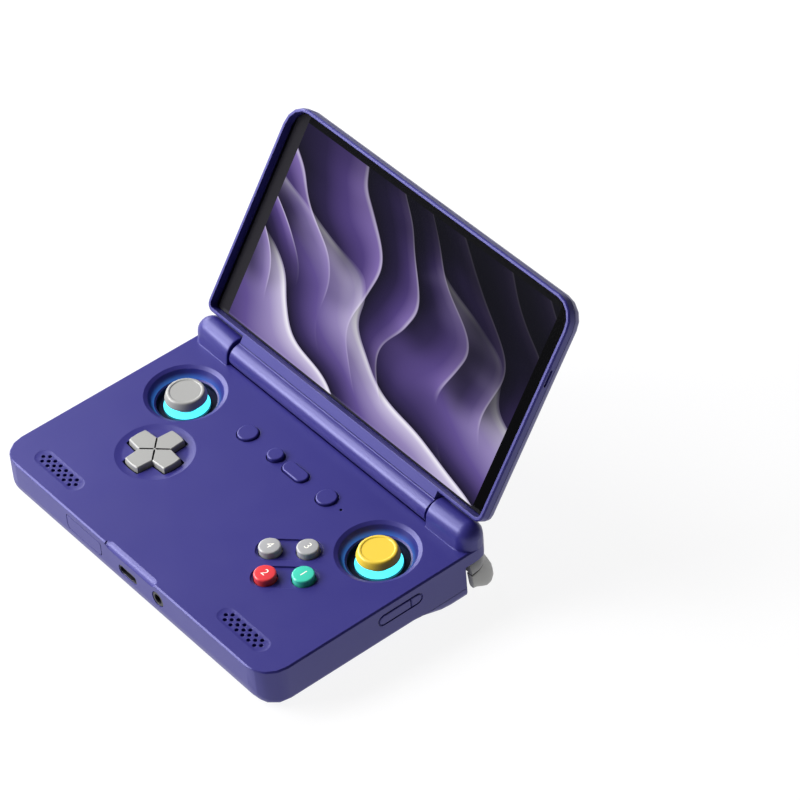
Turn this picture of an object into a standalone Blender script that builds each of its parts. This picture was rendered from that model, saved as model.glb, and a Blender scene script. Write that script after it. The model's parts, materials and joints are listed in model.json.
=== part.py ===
"""A clamshell handheld game console, open, built from its separate pieces.

The console's own frame has +X to the player's right, +Y to the back and z = 0 on the control panel,
with y = 0 on the front line of the hinge knuckles. Everything is parented to an empty that leans the
console forward onto its four feet and puts the frame's origin under the middle of its bounding box.
"""

from math import asin, atan2, cos, pi, radians, sin, sqrt, tan

import bmesh
import bpy
from mathutils import Matrix, Vector

mm = 0.001

# Clearances and the overrun of every cut
GAP = 0.3 * mm
SEAM = 0.15 * mm
OVERRUN = 1.0 * mm
BITE = 0.4 * mm
WELD = 0.002 * mm

# Base housing
BODY_WIDTH = 137.0 * mm
BODY_FRONT = 77.2 * mm
BODY_HEIGHT = 14.5 * mm
WALL = 2.0 * mm
FLOOR = 1.6 * mm
FRONT_CORNER = 9.0 * mm
REAR_CORNER = 5.0 * mm
FRONT_ROUND = 5.0 * mm
SIDE_ROUND = 2.5 * mm
EDGE_CHAMFER = 0.5 * mm
BOTTOM_RIM = 1.2 * mm
LIP_HEIGHT = 1.6 * mm
LIP_WALL = 1.2 * mm

# Hump under the back of the base
HUMP_DROP = 3.1 * mm
HUMP_START = 21.0 * mm
HUMP_FLAT = 7.0 * mm
REAR_ROUND = 4.0 * mm

# Hinge
AXIS_BACK = 4.1 * mm
AXIS_HEIGHT = 2.65 * mm
OPEN_ANGLE = radians(124.32)
BARREL_GAP = 1.0 * mm
BARREL_FRONT_RADIUS = 4.2 * mm
BARREL_BACK_RADIUS = 5.37 * mm
KNUCKLE_SPAN = 18.5 * mm
KNUCKLE_RADIUS = 5.1 * mm
KNUCKLE_SHIFT = 0.5 * mm
KNUCKLE_RISE = 0.25 * mm
KNUCKLE_INSET = 0.05 * mm
KNUCKLE_FOOT = 0.8 * mm
KNUCKLE_END = 4.75 * mm
SHAFT_RADIUS = 1.5 * mm
SHAFT_LENGTH = 21.0 * mm
REAR_SILL = 1.0 * mm
TROUGH_WALL = 1.6 * mm
TROUGH_TOP_ANGLE = radians(100)
TROUGH_NEAR_ANGLE = radians(216)
TROUGH_FAR_ANGLE = radians(246)
TROUGH_END_ANGLE = radians(445)

# Lid, measured from the hinge axis along the lid and towards the screen side
LID_START = 6.3 * mm
LID_RIM = 2.23 * mm
LID_SPLIT = 0.37 * mm
LID_TOP_CORNER = 8.5 * mm
LID_LOW_CORNER = 3.0 * mm
LID_ROUND = 4.7 * mm
LID_EDGE = 0.45 * mm
RIM_WIDTH = 1.3 * mm
RIM_BOTTOM = 4.4 * mm
RIM_TOP = 1.1 * mm
GLASS_DEPTH = 3.0 * mm
GLASS_THICK = 0.9 * mm
SCREEN_SHELF = 2.7 * mm
PANEL_THICK = 1.8 * mm
LID_BACK_WALL = 1.4 * mm
NOTCH_LENGTH = 5.9 * mm
NOTCH_HEIGHT_SHARE = 0.7011
NOTCH_DEPTH = 0.6 * mm
NOTCH_WIDTH = 1.0 * mm

# Sticks
STICK_X_SHARE = 0.7101
STICK_Y_SHARE = 0.2351
WELL_RADIUS = 13.53 * mm
WELL_BEVEL = 1.0 * mm
WELL_BEVEL_DROP_SHARE = 0.1008
WELL_LEDGE_RADIUS = 10.3 * mm
WELL_LEDGE_DEPTH_SHARE = 0.2093
WELL_FLOOR_RADIUS = 9.8 * mm
WELL_FLOOR_DEPTH_SHARE = 0.4031
WELL_SKIN = 1.2 * mm
RING_RADIUS = 7.45 * mm
RING_INNER = 5.8 * mm
RING_TOP_SHARE = 0.3488
RING_SEAT_SHARE = 0.4729
WELL_HOLE = 5.3 * mm
STICK_PIVOT_SHARE = 0.7287
CAP_RADIUS = 7.0 * mm
CAP_TOP = 1.0 * mm
CAP_UNDER = 1.8 * mm
STEM_RADIUS = 2.3 * mm
DOME_RADIUS = 4.3 * mm
DOME_BOTTOM_SHARE = 0.5271
POST_RADIUS = 1.1 * mm
POST_TOP_SHARE = 0.3566
CLICK_TRAVEL = 0.3 * mm
CAP_SHARES = ((0, 0.84), (0.77, 0.84), (0.79, 0.95), (0.84, 1.0), (0.92, 0.80), (0.975, 0.30))
GIMBAL_SIZE = 16.0 * mm
GIMBAL_WALL = 1.2 * mm
GIMBAL_FLOOR = 0.9 * mm
GIMBAL_TOP_SHARE = 0.5736
YOKE_SIZE = 12.4 * mm
YOKE_WIDTH = 1.7 * mm
YOKE_THICK = 2.0 * mm
HUB_SIZE = 6.0 * mm
AXLE_RADIUS = 0.5 * mm

# Direction pad
PAD_X_SHARE = 0.4872
PAD_Y_SHARE = 0.5390
PAD_REACH = 9.6 * mm
PAD_ARM = 7.3 * mm
PAD_TOP = 1.3 * mm
PAD_FLARE = 0.1 * mm
PAD_EDGE = 0.35 * mm
PAD_BOW = 0.5 * mm
DISH_RADIUS = 12.7 * mm
DISH_DEPTH = 0.9 * mm
DISH_FLOOR = 10.4 * mm
GROOVE_WIDTH = 0.45 * mm
GROOVE_DEPTH = 0.4 * mm
PAD_FLANGE_TOP_SHARE = 0.2868
PAD_FLANGE_THICK = 0.7 * mm
PAD_FLANGE_RADIUS = 9.6 * mm
PAD_PIVOT_SHARE = 0.3566
PAD_PIN = 0.9 * mm

# Round and oval buttons
FACE_X_SHARE = 0.4947
FACE_Y_SHARE = 0.5416
FACE_SPREAD = 8.29 * mm
FACE_RADIUS = 3.55 * mm
FACE_TOP = 1.85 * mm
FACE_EDGE = 0.9 * mm
FACE_RECESS_WIDTH = 9.2 * mm
FACE_RECESS_DEPTH = 0.5 * mm
FLANGE_OUT = 0.9 * mm
FLANGE_THICK = 0.8 * mm
MENU_Y = 15.2 * mm
OPTION_X_SHARE = 0.2905
OPTION_RADIUS = 3.45 * mm
OPTION_TOP = 0.8 * mm
HOME_X = 5.75 * mm
HOME_RADIUS = 2.75 * mm
HOME_TOP = 1.3 * mm
OVAL_X = 4.35 * mm
OVAL_LENGTH = 10.4 * mm
OVAL_WIDTH = 4.9 * mm
OVAL_TOP = 0.8 * mm
BUTTON_EDGE = 0.5 * mm
MIC_X_SHARE = 0.3927
MIC_RADIUS = 0.45 * mm

# Speakers
GRILLE_X_SHARE = 0.6885
GRILLE_FRONT = 8.62 * mm
GRILLE_LENGTH_SHARE = 0.1825
GRILLE_WIDTH = 7.6 * mm
GRILLE_SINK = 0.3 * mm
HOLE_PITCH_SHARE = 0.0211
HOLE_ROW = 1.5 * mm
HOLE_RADIUS = 0.65 * mm
SPEAKER_LENGTH_SHARE = 0.1679
SPEAKER_WIDTH = 9.0 * mm
SPEAKER_THICK = 3.6 * mm
SPEAKER_LIP = 1.2 * mm

# Front edge
DOOR_LEFT_SHARE = 0.4701
DOOR_RIGHT_SHARE = 0.2088
DOOR_TOP = 2.6 * mm
DOOR_BOTTOM = 8.2 * mm
DOOR_CORNER = 1.4 * mm
DOOR_THICK = 1.3 * mm
LIP_LEFT = 11.7 * mm
LIP_RIGHT = 13.7 * mm
LIP_CUT = 1.1 * mm
LIP_DROP = 1.7 * mm
LIP_END_SHARE = 0.6
PORT_X = 0.6 * mm
PORT_Z = 6.0 * mm
PORT_WIDTH = 8.94 * mm
PORT_HEIGHT = 3.26 * mm
PORT_SKIN = 0.35 * mm
PORT_LENGTH = 7.2 * mm
TONGUE_WIDTH = 6.7 * mm
TONGUE_THICK = 0.7 * mm
JACK_X = 14.85 * mm
JACK_Z = 5.2 * mm
JACK_RADIUS = 2.6 * mm
JACK_BORE = 1.75 * mm
JACK_LENGTH = 10.5 * mm
READER_DEPTH = 13.0 * mm
READER_THICK = 2.4 * mm
READER_SLOT = 1.0 * mm

# Keys in the right side wall
KEY_Z = 5.1 * mm
KEY_HEIGHT = 3.4 * mm
KEY_FRONT = 34.05 * mm
KEY_BACK = 17.7 * mm
KEY_SPLIT = 21.8 * mm
KEY_PROUD = 0.45 * mm
KEY_THICK = 1.4 * mm
KEY_SINK = 0.35 * mm
KEY_STEM = 1.0 * mm
SIDE_BOARD_THICK = 0.8 * mm
SIDE_BOARD_HEIGHT = 4.6 * mm

# Shoulder buttons and triggers
SHOULDER_SPAN = 30.1 * mm
SHOULDER_CEILING = 4.8 * mm
SHOULDER_FRONT = 0.4 * mm
SHOULDER_CLEAR = 0.8 * mm
SHOULDER_CORNER = 7.0 * mm
SHOULDER_SIDE = 1.4 * mm
BUMPER_HEIGHT = 3.6 * mm
BUMPER_SKIN = 3.4 * mm
TRIGGER_SKIN = 2.6 * mm
TRIGGER_HANG = 0.2 * mm
TRIGGER_FLARE = 3.6 * mm
TRIGGER_RELIEF = 0.4 * mm
BUMPER_FLARE = 0.7 * mm
BUMPER_FLARE_SHARE = 0.333
BUMPER_BELLY_SHARE = 0.6
BLUNT_LENGTH_SHARE = 0.07
BLUNT_END_SHARE = 0.45
RELIEF_START_SHARE = 0.88
BLADE_INNER_SHARE = 0.42
BLADE_GROWN_SHARE = 0.5
BLADE_FALL_SHARE = 0.8
BLADE_CUT_SHARE = 0.42
BELLY_GROWN_SHARE = 0.45
BELLY_FALL_SHARE = 0.6
BELLY_CUT_SHARE = 0.88
BLADE_SHARES = (
    (0.35, 0),
    (0.65, 0),
    (0.88, 0.02),
    (0.97, 0.16),
    (1, 0.42),
    (0.97, 0.7),
    (0.85, 0.86),
    (0.45, 0.96),
)
BRACKET_THICK = 1.0 * mm
BRACKET_CLEAR = 1.8 * mm
BRACKET_MARGIN = 6.5 * mm
BRACKET_HEIGHT = 8.0 * mm
ARM_THICK = 1.6 * mm
ARM_HEIGHT = 3.0 * mm
TRIGGER_PIN_Y = 3.6 * mm
TRIGGER_PIN_Z = 10.6 * mm
TRIGGER_PIN = 0.8 * mm
TRIGGER_HUB = 2.0 * mm
BUMPER_PIN_CLEAR = 3.4 * mm
BUMPER_PIN_Y = 4.2 * mm
BUMPER_PIN = 0.7 * mm
BUMPER_EYE = 1.8 * mm

# Boards, battery and cooling
BOARD_DEPTH_SHARE = 0.4961
BOARD_THICK = 1.0 * mm
BOARD_MARGIN = 4.2 * mm
BOARD_FRONT_MARGIN = 14.7 * mm
BOARD_REAR_MARGIN = 6.4 * mm
BOARD_REAR = 7.0 * mm
BOARD_BACK = 4.0 * mm
BATTERY_WIDTH_SHARE = 0.4088
BATTERY_MARGIN = 11.2 * mm
BATTERY_REAR = 27.0 * mm
BATTERY_CORNER = 2.0 * mm
FAN_Y = 8.0 * mm
FAN_RADIUS = 10.5 * mm
FAN_WALL = 0.8 * mm
FAN_BLADE_RADIUS = 8.8 * mm
FAN_HUB_RADIUS = 4.0 * mm
FAN_PIN = 0.7 * mm
FAN_BLADE = 0.6 * mm
FAN_BLADES = 9
FAN_INTAKE = 6.5 * mm
OUTLET_SHARE = 0.75
BLADE_LEAN_SHARE = 0.55
HEATSINK_WIDTH = 26.0 * mm
HEATSINK_LENGTH = 4.4 * mm
HEATSINK_DROP = 3.8 * mm
FIN_THICK = 0.7 * mm
FIN_BASE = 1.2 * mm
FINS = 10
VENT_WIDTH = 1.4 * mm
VENT_HEIGHT = 4.6 * mm
VENT_PITCH = 2.8 * mm
VENTS = 9
INTAKE_SLOTS = 7
INTAKE_PITCH = 2.6 * mm
INTAKE_WIDTH = 1.3 * mm
INTAKE_RADIUS = 9.0 * mm

# Key pads of rubber
KEYPAD_THICK = 0.6 * mm
DOME_HIGH = 1.1 * mm
DOME_LOW_SHARE = 0.4
DOME_WIDE = 1.9 * mm
PAD_DOME_SHARE = 0.7

# Screws and feet
SCREW_FRONT_X_SHARE = 0.8832
SCREW_FRONT_Y_SHARE = 0.5829
SCREW_REAR_X_SHARE = 0.4818
SCREW_REAR_Y = 24.5 * mm
SCREW_RADIUS = 0.9 * mm
SCREW_HEAD = 1.8 * mm
SCREW_HEAD_THICK = 1.1 * mm
SCREW_SINK = 0.5 * mm
SCREW_LENGTH = 7.0 * mm
BOSS_RADIUS = 2.6 * mm
BOSS_BORE = 1.2 * mm
FOOT_LENGTH = 12.0 * mm
FOOT_WIDTH = 4.6 * mm
FOOT_X_SHARE = 0.7299
FOOT_MARGIN = 11.2 * mm
FOOT_REAR_Y = 4.6 * mm
REAR_FOOT_X_SHARE = 0.3504
FOOT_PROUD = 0.7 * mm
FOOT_SINK = 0.6 * mm

# How finely curves are divided
FINE_SIDES = 20
ROUND_SIDES = 14
SMALL_SIDES = 8
TINY_SIDES = 6
QUARTER_STEPS = 3
CORNER_STEPS = 4
PATH_STEPS = 6
FLAT_ANGLE = radians(0.2)
SHARP_ANGLE = radians(32)

HALF = BODY_WIDTH / 2
STACK = BODY_HEIGHT - FLOOR
REAR = AXIS_BACK + KNUCKLE_SHIFT + KNUCKLE_RADIUS
CEILING = -WALL
SPLIT = -BODY_HEIGHT + BOTTOM_RIM
FLOOR_TOP = -STACK
TROUGH_RADIUS = BARREL_BACK_RADIUS + GAP
KNUCKLE_START = HALF - KNUCKLE_SPAN
BARREL_HALF = KNUCKLE_START - BARREL_GAP
TROUGH_HALF = KNUCKLE_START - SEAM - SEAM / 2
LID_END = BODY_FRONT + AXIS_BACK
LID_BACK = -BARREL_BACK_RADIUS
BEZEL_BACK = -LID_SPLIT
COVER_FACE = BEZEL_BACK - SEAM
OPENING_HALF = HALF - RIM_WIDTH
OPENING_LOW = BARREL_FRONT_RADIUS * cos(asin(LID_RIM / BARREL_FRONT_RADIUS)) + RIM_BOTTOM - LID_SPLIT
OPENING_HIGH = LID_END - RIM_TOP
CAVITY_REAR = -SHOULDER_FRONT - WALL
STICK_X = STICK_X_SHARE * HALF
STICK_Y = STICK_Y_SHARE * BODY_FRONT
WELL_BEVEL_DROP = WELL_BEVEL_DROP_SHARE * STACK
WELL_LEDGE_DEPTH = WELL_LEDGE_DEPTH_SHARE * STACK
WELL_FLOOR_DEPTH = WELL_FLOOR_DEPTH_SHARE * STACK
RING_TOP = RING_TOP_SHARE * STACK
RING_SEAT = RING_SEAT_SHARE * STACK
STICK_PIVOT = STICK_PIVOT_SHARE * STACK
DOME_BOTTOM = DOME_BOTTOM_SHARE * STACK
POST_TOP = POST_TOP_SHARE * STACK
GIMBAL_TOP = GIMBAL_TOP_SHARE * STACK
BOARD_TOP = -BOARD_DEPTH_SHARE * STACK
BOARD_UNDER = BOARD_TOP - BOARD_THICK
PAD_X = PAD_X_SHARE * HALF
PAD_Y = PAD_Y_SHARE * BODY_FRONT
PAD_FLANGE_TOP = PAD_FLANGE_TOP_SHARE * STACK
PAD_FLANGE_LOW = PAD_FLANGE_TOP + PAD_FLANGE_THICK
PAD_PIVOT = PAD_PIVOT_SHARE * STACK
SHEET_TOP = BOARD_TOP + SEAM + KEYPAD_THICK
DOME_LOW = DOME_LOW_SHARE * (-PAD_FLANGE_LOW - SHEET_TOP)
FACE_X = FACE_X_SHARE * HALF
FACE_Y = FACE_Y_SHARE * BODY_FRONT
OPTION_X = OPTION_X_SHARE * HALF
MIC_X = MIC_X_SHARE * HALF
GRILLE_X = GRILLE_X_SHARE * HALF
GRILLE_Y = BODY_FRONT - GRILLE_FRONT
GRILLE_LENGTH = GRILLE_LENGTH_SHARE * BODY_WIDTH
HOLE_PITCH = HOLE_PITCH_SHARE * BODY_WIDTH
SPEAKER_LENGTH = SPEAKER_LENGTH_SHARE * BODY_WIDTH
DOOR_LEFT = DOOR_LEFT_SHARE * HALF
DOOR_RIGHT = DOOR_RIGHT_SHARE * HALF
SHOULDER_INNER = HALF - SHOULDER_SPAN
SHOULDER_END = SHOULDER_INNER + SHOULDER_CLEAR
BRACKET_START = SHOULDER_INNER + BRACKET_CLEAR
BRACKET_END = HALF - BRACKET_MARGIN
BUMPER_PIN_X = SHOULDER_INNER + BUMPER_PIN_CLEAR
TRIGGER_DROP = BODY_HEIGHT + HUMP_DROP + TRIGGER_HANG
BOARD_HALF = HALF - WALL - BOARD_MARGIN
BOARD_FRONT = BODY_FRONT - BOARD_FRONT_MARGIN
BOARD_TONGUE = BODY_FRONT - SEAM - PORT_LENGTH - GAP
BOARD_TONGUE_HALF = GRILLE_X - SPEAKER_LENGTH / 2 - GAP
BOARD_REAR_HALF = SHOULDER_INNER - WALL - BOARD_REAR_MARGIN
SIDE_BOARD_X = BOARD_HALF + GAP
BATTERY_HALF = BATTERY_WIDTH_SHARE * HALF
BATTERY_FRONT = BODY_FRONT - BATTERY_MARGIN
SCREW_FRONT_X = SCREW_FRONT_X_SHARE * HALF
SCREW_FRONT_Y = SCREW_FRONT_Y_SHARE * BODY_FRONT
SCREW_REAR_X = SCREW_REAR_X_SHARE * HALF
FOOT_X = FOOT_X_SHARE * HALF
FOOT_FRONT_Y = BODY_FRONT - FOOT_MARGIN
REAR_FOOT_X = REAR_FOOT_X_SHARE * HALF
TILT = atan2(HUMP_DROP, FOOT_FRONT_Y - FOOT_REAR_Y)

BODY_BLUE = (0.060, 0.047, 0.330)
BODY_DEEP = (0.045, 0.034, 0.260)
STICK_GREY = (0.430, 0.430, 0.415)
KEY_GREY = (0.360, 0.360, 0.370)
STICK_YELLOW = (0.850, 0.560, 0.080)
KEY_GREEN = (0.040, 0.420, 0.300)
KEY_RED = (0.620, 0.045, 0.060)
TRIGGER_GREY = (0.300, 0.300, 0.310)
RING_CYAN = (0.120, 0.850, 0.900)
GLASS_BLACK = (0.010, 0.010, 0.014)
BLACK = (0.015, 0.015, 0.018)
BOARD_GREEN = (0.020, 0.120, 0.060)
STEEL = (0.560, 0.570, 0.580)
RUBBER = (0.030, 0.030, 0.034)
SILICONE = (0.350, 0.350, 0.340)
CELL_GREY = (0.140, 0.140, 0.150)


def solid(name, points, faces):
    """A closed mesh object from points and faces, with its normals turned out."""
    mesh = bpy.data.meshes.new(name)
    mesh.from_pydata([tuple(point) for point in points], [], faces)
    build = bmesh.new()
    build.from_mesh(mesh)
    bmesh.ops.recalc_face_normals(build, faces=build.faces)
    if build.calc_volume(signed=True) < 0:
        bmesh.ops.reverse_faces(build, faces=build.faces)
    build.to_mesh(mesh)
    build.free()
    made = bpy.data.objects.new(name, mesh)
    bpy.context.collection.objects.link(made)
    return made


def along(axis, first, second, height):
    """The point with two outline coordinates and a height along the axis X, Y or Z."""
    if axis == "X":
        return Vector((height, first, second))
    if axis == "Y":
        return Vector((first, height, second))
    return Vector((first, second, height))


def loft(name, rings, twisted=False):
    """A closed solid through rings with equally many points; twisted side faces are split in two."""
    count = len(rings[0])
    points = [point for ring in rings for point in ring]
    faces = []
    for level in range(len(rings) - 1):
        low = level * count
        high = low + count
        for step in range(count):
            after = (step + 1) % count
            if twisted:
                faces.append((low + step, low + after, high + after))
                faces.append((low + step, high + after, high + step))
            else:
                faces.append((low + step, low + after, high + after, high + step))
    faces.append(tuple(range(count)))
    faces.append(tuple(range(len(points) - count, len(points))))
    return solid(name, points, faces)


def prism(name, outline, low, high, axis="Z"):
    """An outline pushed from low to high along an axis."""
    return loft(name, [[along(axis, a, b, level) for a, b in outline] for level in (low, high)])


def box(name, x, y, z):
    """A box from three pairs of limits."""
    return prism(name, [(x[0], y[0]), (x[1], y[0]), (x[1], y[1]), (x[0], y[1])], z[0], z[1])


def circle(a, b, radius, sides):
    turn = 2 * pi / sides
    return [(a + radius * cos(turn * step), b + radius * sin(turn * step)) for step in range(sides)]


def arc(a, b, radius, start, end, steps):
    """Points on an arc from one angle to the other, both ends included."""
    sweep = (end - start) / steps
    return [
        (a + radius * cos(start + sweep * step), b + radius * sin(start + sweep * step))
        for step in range(steps + 1)
    ]


def rounded(a, b, radii, steps=QUARTER_STEPS):
    """A rectangle from limits a and b, its four radii given round from the low corner."""
    centres = (
        (a[0] + radii[0], b[0] + radii[0], pi),
        (a[1] - radii[1], b[0] + radii[1], 1.5 * pi),
        (a[1] - radii[2], b[1] - radii[2], 0),
        (a[0] + radii[3], b[1] - radii[3], 0.5 * pi),
    )
    outline = []
    for (along_a, along_b, start), radius in zip(centres, radii):
        outline += arc(along_a, along_b, radius, start, start + pi / 2, steps)
    return outline


def stadium(a, b, length, width, angle=0, steps=QUARTER_STEPS):
    """A slot outline with round ends, its length along the given angle."""
    reach = (length - width) / 2
    da, db = reach * cos(angle), reach * sin(angle)
    first = arc(a + da, b + db, width / 2, angle - pi / 2, angle + pi / 2, 2 * steps)
    second = arc(a - da, b - db, width / 2, angle + pi / 2, angle + 1.5 * pi, 2 * steps)
    return first + second


def turned(name, profile, sides, place=(0, 0, 0), axis="Z"):
    """A profile of (radius, height) turned round an axis; points on the axis have radius zero."""
    points = []
    rows = []
    for radius, height in profile:
        if radius == 0:
            rows.append([len(points)])
            points.append(along(axis, 0, 0, height))
            continue
        rows.append(list(range(len(points), len(points) + sides)))
        points += [along(axis, a, b, height) for a, b in circle(0, 0, radius, sides)]
    faces = []
    closed_profile = len(rows[0]) > 1 or len(rows[-1]) > 1
    pairs = list(zip(rows, rows[1:]))
    if closed_profile:
        pairs.append((rows[-1], rows[0]))
    for here, there in pairs:
        if len(here) == 1 and len(there) == 1:
            continue
        for step in range(sides):
            after = (step + 1) % sides
            if len(here) == 1:
                faces.append((here[0], there[step], there[after]))
            elif len(there) == 1:
                faces.append((here[step], there[0], here[after]))
            else:
                faces.append((here[step], there[step], there[after], here[after]))
    return solid(name, [point + Vector(place) for point in points], faces)


def combine(target, tools, operation):
    for tool in tools:
        step = target.modifiers.new(operation.lower(), "BOOLEAN")
        step.operation = operation
        step.solver = "EXACT"
        step.object = tool
    bpy.context.view_layer.update()
    graph = bpy.context.evaluated_depsgraph_get()
    made = bpy.data.meshes.new_from_object(target.evaluated_get(graph))
    target.modifiers.clear()
    build = bmesh.new()
    build.from_mesh(made)
    bmesh.ops.remove_doubles(build, verts=build.verts, dist=WELD)
    bmesh.ops.dissolve_degenerate(build, edges=build.edges, dist=WELD)
    build.to_mesh(made)
    build.free()
    made.name = target.name
    target.data = made
    for tool in tools:
        bpy.data.objects.remove(tool)
    return target


def cut(target, *tools):
    return combine(target, tools, "DIFFERENCE")


def join(target, *tools):
    return combine(target, tools, "UNION")


def material(name, colour, roughness, metallic=0.0):
    made = bpy.data.materials.new(name)
    made.use_nodes = True
    shader = made.node_tree.nodes["Principled BSDF"]
    shader.inputs["Base Color"].default_value = (*colour, 1)
    shader.inputs["Roughness"].default_value = roughness
    shader.inputs["Metallic"].default_value = metallic
    made.diffuse_color = (*colour, 1)
    return made


def merge_flat_faces(mesh):
    """Joins neighbouring faces that lie in one plane."""
    build = bmesh.new()
    build.from_mesh(mesh)
    bmesh.ops.dissolve_limit(build, angle_limit=FLAT_ANGLE, verts=build.verts, edges=build.edges)
    build.to_mesh(mesh)
    build.free()


def finish(piece, parent, colour, roughness, metallic=0.0, origin=None):
    """Gives a piece its material, shading, parent and, where it moves, the origin on its joint."""
    merge_flat_faces(piece.data)
    piece.data.materials.clear()
    piece.data.materials.append(material(piece.name, colour, roughness, metallic))
    piece.data.shade_smooth()
    piece.data.set_sharp_from_angle(angle=SHARP_ANGLE)
    if origin is not None:
        piece.data.transform(Matrix.Translation(-Vector(origin)))
        piece.location = origin
    piece.parent = parent
    return piece


def mirrored(name, piece):
    """A mirror copy across the console's middle plane."""
    data = piece.data.copy()
    data.transform(Matrix.Scale(-1, 4, (1, 0, 0)))
    data.flip_normals()
    made = bpy.data.objects.new(name, data)
    bpy.context.collection.objects.link(made)
    return made


def sides_of(name, build):
    """Builds a right-hand piece and mirrors it for the left."""
    right = build("right_" + name)
    left = mirrored("left_" + name, right)
    return left, right


def ease(share):
    """Runs smoothly from 0 to 1."""
    return (1 - cos(pi * min(max(share, 0), 1))) / 2


# Base housing
def half_width(y, inset):
    """Half of the base's width at y, with its rounded plan corners."""
    half = HALF - inset
    front_radius = FRONT_CORNER - inset
    rear_radius = REAR_CORNER - inset
    from_front = y + BODY_FRONT - inset
    from_rear = REAR - inset - y
    if from_front < front_radius:
        return half - front_radius + sqrt(max(front_radius**2 - (front_radius - from_front) ** 2, 0))
    if from_rear < rear_radius:
        return half - rear_radius + sqrt(max(rear_radius**2 - (rear_radius - from_rear) ** 2, 0))
    return half


def underside(y, inset, floor):
    """Height of the base's underside at y: flat, then the hump, with rounds at both ends."""
    fall = HUMP_DROP * ease((y + HUMP_START) / (HUMP_START - HUMP_FLAT))
    level = -BODY_HEIGHT - fall + floor
    front_radius = FRONT_ROUND - inset
    rear_radius = REAR_ROUND - inset
    from_front = y + BODY_FRONT - inset
    from_rear = REAR - inset - y
    if from_front < front_radius:
        level += front_radius - sqrt(max(front_radius**2 - (front_radius - from_front) ** 2, 0))
    if from_rear < rear_radius:
        level += rear_radius - sqrt(max(rear_radius**2 - (rear_radius - from_rear) ** 2, 0))
    return level


def body_section(y, top, inset, floor):
    half = half_width(y, inset)
    chamfer = EDGE_CHAMFER
    radius = max(SIDE_ROUND - inset, chamfer)
    low = min(underside(y, inset, floor), top - 2 * chamfer - radius)
    right = arc(half - radius, low + radius, radius, 0, -pi / 2, QUARTER_STEPS)
    left = [(-x, z) for x, z in reversed(right)]
    upper = [(-half, top - chamfer), (-half + chamfer, top), (half - chamfer, top), (half, top - chamfer)]
    return [Vector((x, y, z)) for x, z in upper + right + left]


def body_form(name, top, inset=0, floor=0, rear=None):
    """The base's outer form, or a form inside it when an inset is given."""
    front = -BODY_FRONT + inset
    corner = FRONT_CORNER - inset
    fine = CORNER_STEPS if inset == 0 else QUARTER_STEPS
    stations = [front + corner * (1 - cos(pi / 2 * step / fine)) for step in range(fine + 1)]
    stations += [front + EDGE_CHAMFER, front + (FRONT_ROUND - inset) * (1 - cos(pi / 4))]
    stations += [-HUMP_START + (HUMP_START - HUMP_FLAT) * step / fine for step in range(fine + 1)]
    end = REAR - inset
    if rear is None:
        bends = [1 - cos(pi / 2 * step / QUARTER_STEPS) for step in range(QUARTER_STEPS + 1)]
        stations += [end - (REAR_CORNER - inset) * bend for bend in bends]
        stations += [end - (REAR_ROUND - inset) * bend for bend in bends[1:-1]]
    else:
        stations.append(rear)
    stations = sorted({round(y, 7) for y in stations})
    rings = []
    for y in stations:
        reached = min(EDGE_CHAMFER, y - front) if inset == 0 else EDGE_CHAMFER
        rings.append(body_section(y, top - EDGE_CHAMFER + reached, inset, floor))
    return loft(name, rings)


def inner_form(name, top, inset, floor):
    """A form inside the base's walls, with the chamber at the middle of the back."""
    past = inset - WALL
    form = body_form(name, top, inset, floor, CAVITY_REAR - past)
    half = SHOULDER_INNER - WALL - past
    ceiling = min(top, AXIS_HEIGHT - TROUGH_RADIUS - TROUGH_WALL)
    low = -BODY_HEIGHT - HUMP_DROP + FLOOR
    radii = (BITE, WALL, BITE, BITE)
    outline = rounded((CAVITY_REAR - past - OVERRUN, REAR - WALL - past), (low, ceiling), radii)
    return join(form, prism("chamber", outline, -half, half, "X"))


def shoulder_notch(name, sign):
    """The space at a rear corner that the shoulder button and trigger fill."""
    return box(
        name,
        sorted((sign * SHOULDER_INNER, sign * (HALF + OVERRUN))),
        (-SHOULDER_FRONT, REAR + OVERRUN),
        (-BODY_HEIGHT - HUMP_DROP - OVERRUN, -SHOULDER_CEILING),
    )


def knuckle(name):
    """One hinge knuckle: an arch over the hinge shaft with a rounded outer end."""
    middle = AXIS_BACK + KNUCKLE_SHIFT
    height = AXIS_HEIGHT + KNUCKLE_RISE
    radius = KNUCKLE_RADIUS - KNUCKLE_INSET
    end = HALF - KNUCKLE_INSET
    reaches = [KNUCKLE_START, KNUCKLE_START + EDGE_CHAMFER]
    reaches += [
        end - KNUCKLE_END * (1 - sin(pi / 2 * step / CORNER_STEPS))
        for step in range(CORNER_STEPS + 1)
    ]
    rings = []
    for x in reaches:
        into = max(x - end + KNUCKLE_END, 0)
        shrink = KNUCKLE_END - sqrt(max(KNUCKLE_END**2 - into**2, 0))
        if x == KNUCKLE_START:
            shrink = EDGE_CHAMFER / 2
        top = radius - shrink
        spread = KNUCKLE_FOOT * top / radius
        ring = [(middle - top - spread, -BITE), (middle - top - spread / 3, spread / 3)]
        ring += arc(middle, height, top, pi, 0, 2 * CORNER_STEPS)
        ring += [(middle + top, -BITE)]
        rings.append([Vector((x, y, z)) for y, z in ring])
    return loft(name, rings)


def well_skin():
    """The section of the stepped bowl round a stick, from outside."""
    low = -RING_SEAT - WELL_SKIN + BITE / 2
    return [
        (0, low),
        (WELL_FLOOR_RADIUS + WELL_SKIN, low),
        (WELL_FLOOR_RADIUS + WELL_SKIN, -WELL_LEDGE_DEPTH - WELL_SKIN),
        (WELL_RADIUS + WELL_SKIN / 2, -WELL_BEVEL_DROP - WELL_SKIN),
        (WELL_RADIUS + WELL_SKIN, -EDGE_CHAMFER),
        (0, -EDGE_CHAMFER),
    ]


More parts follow.
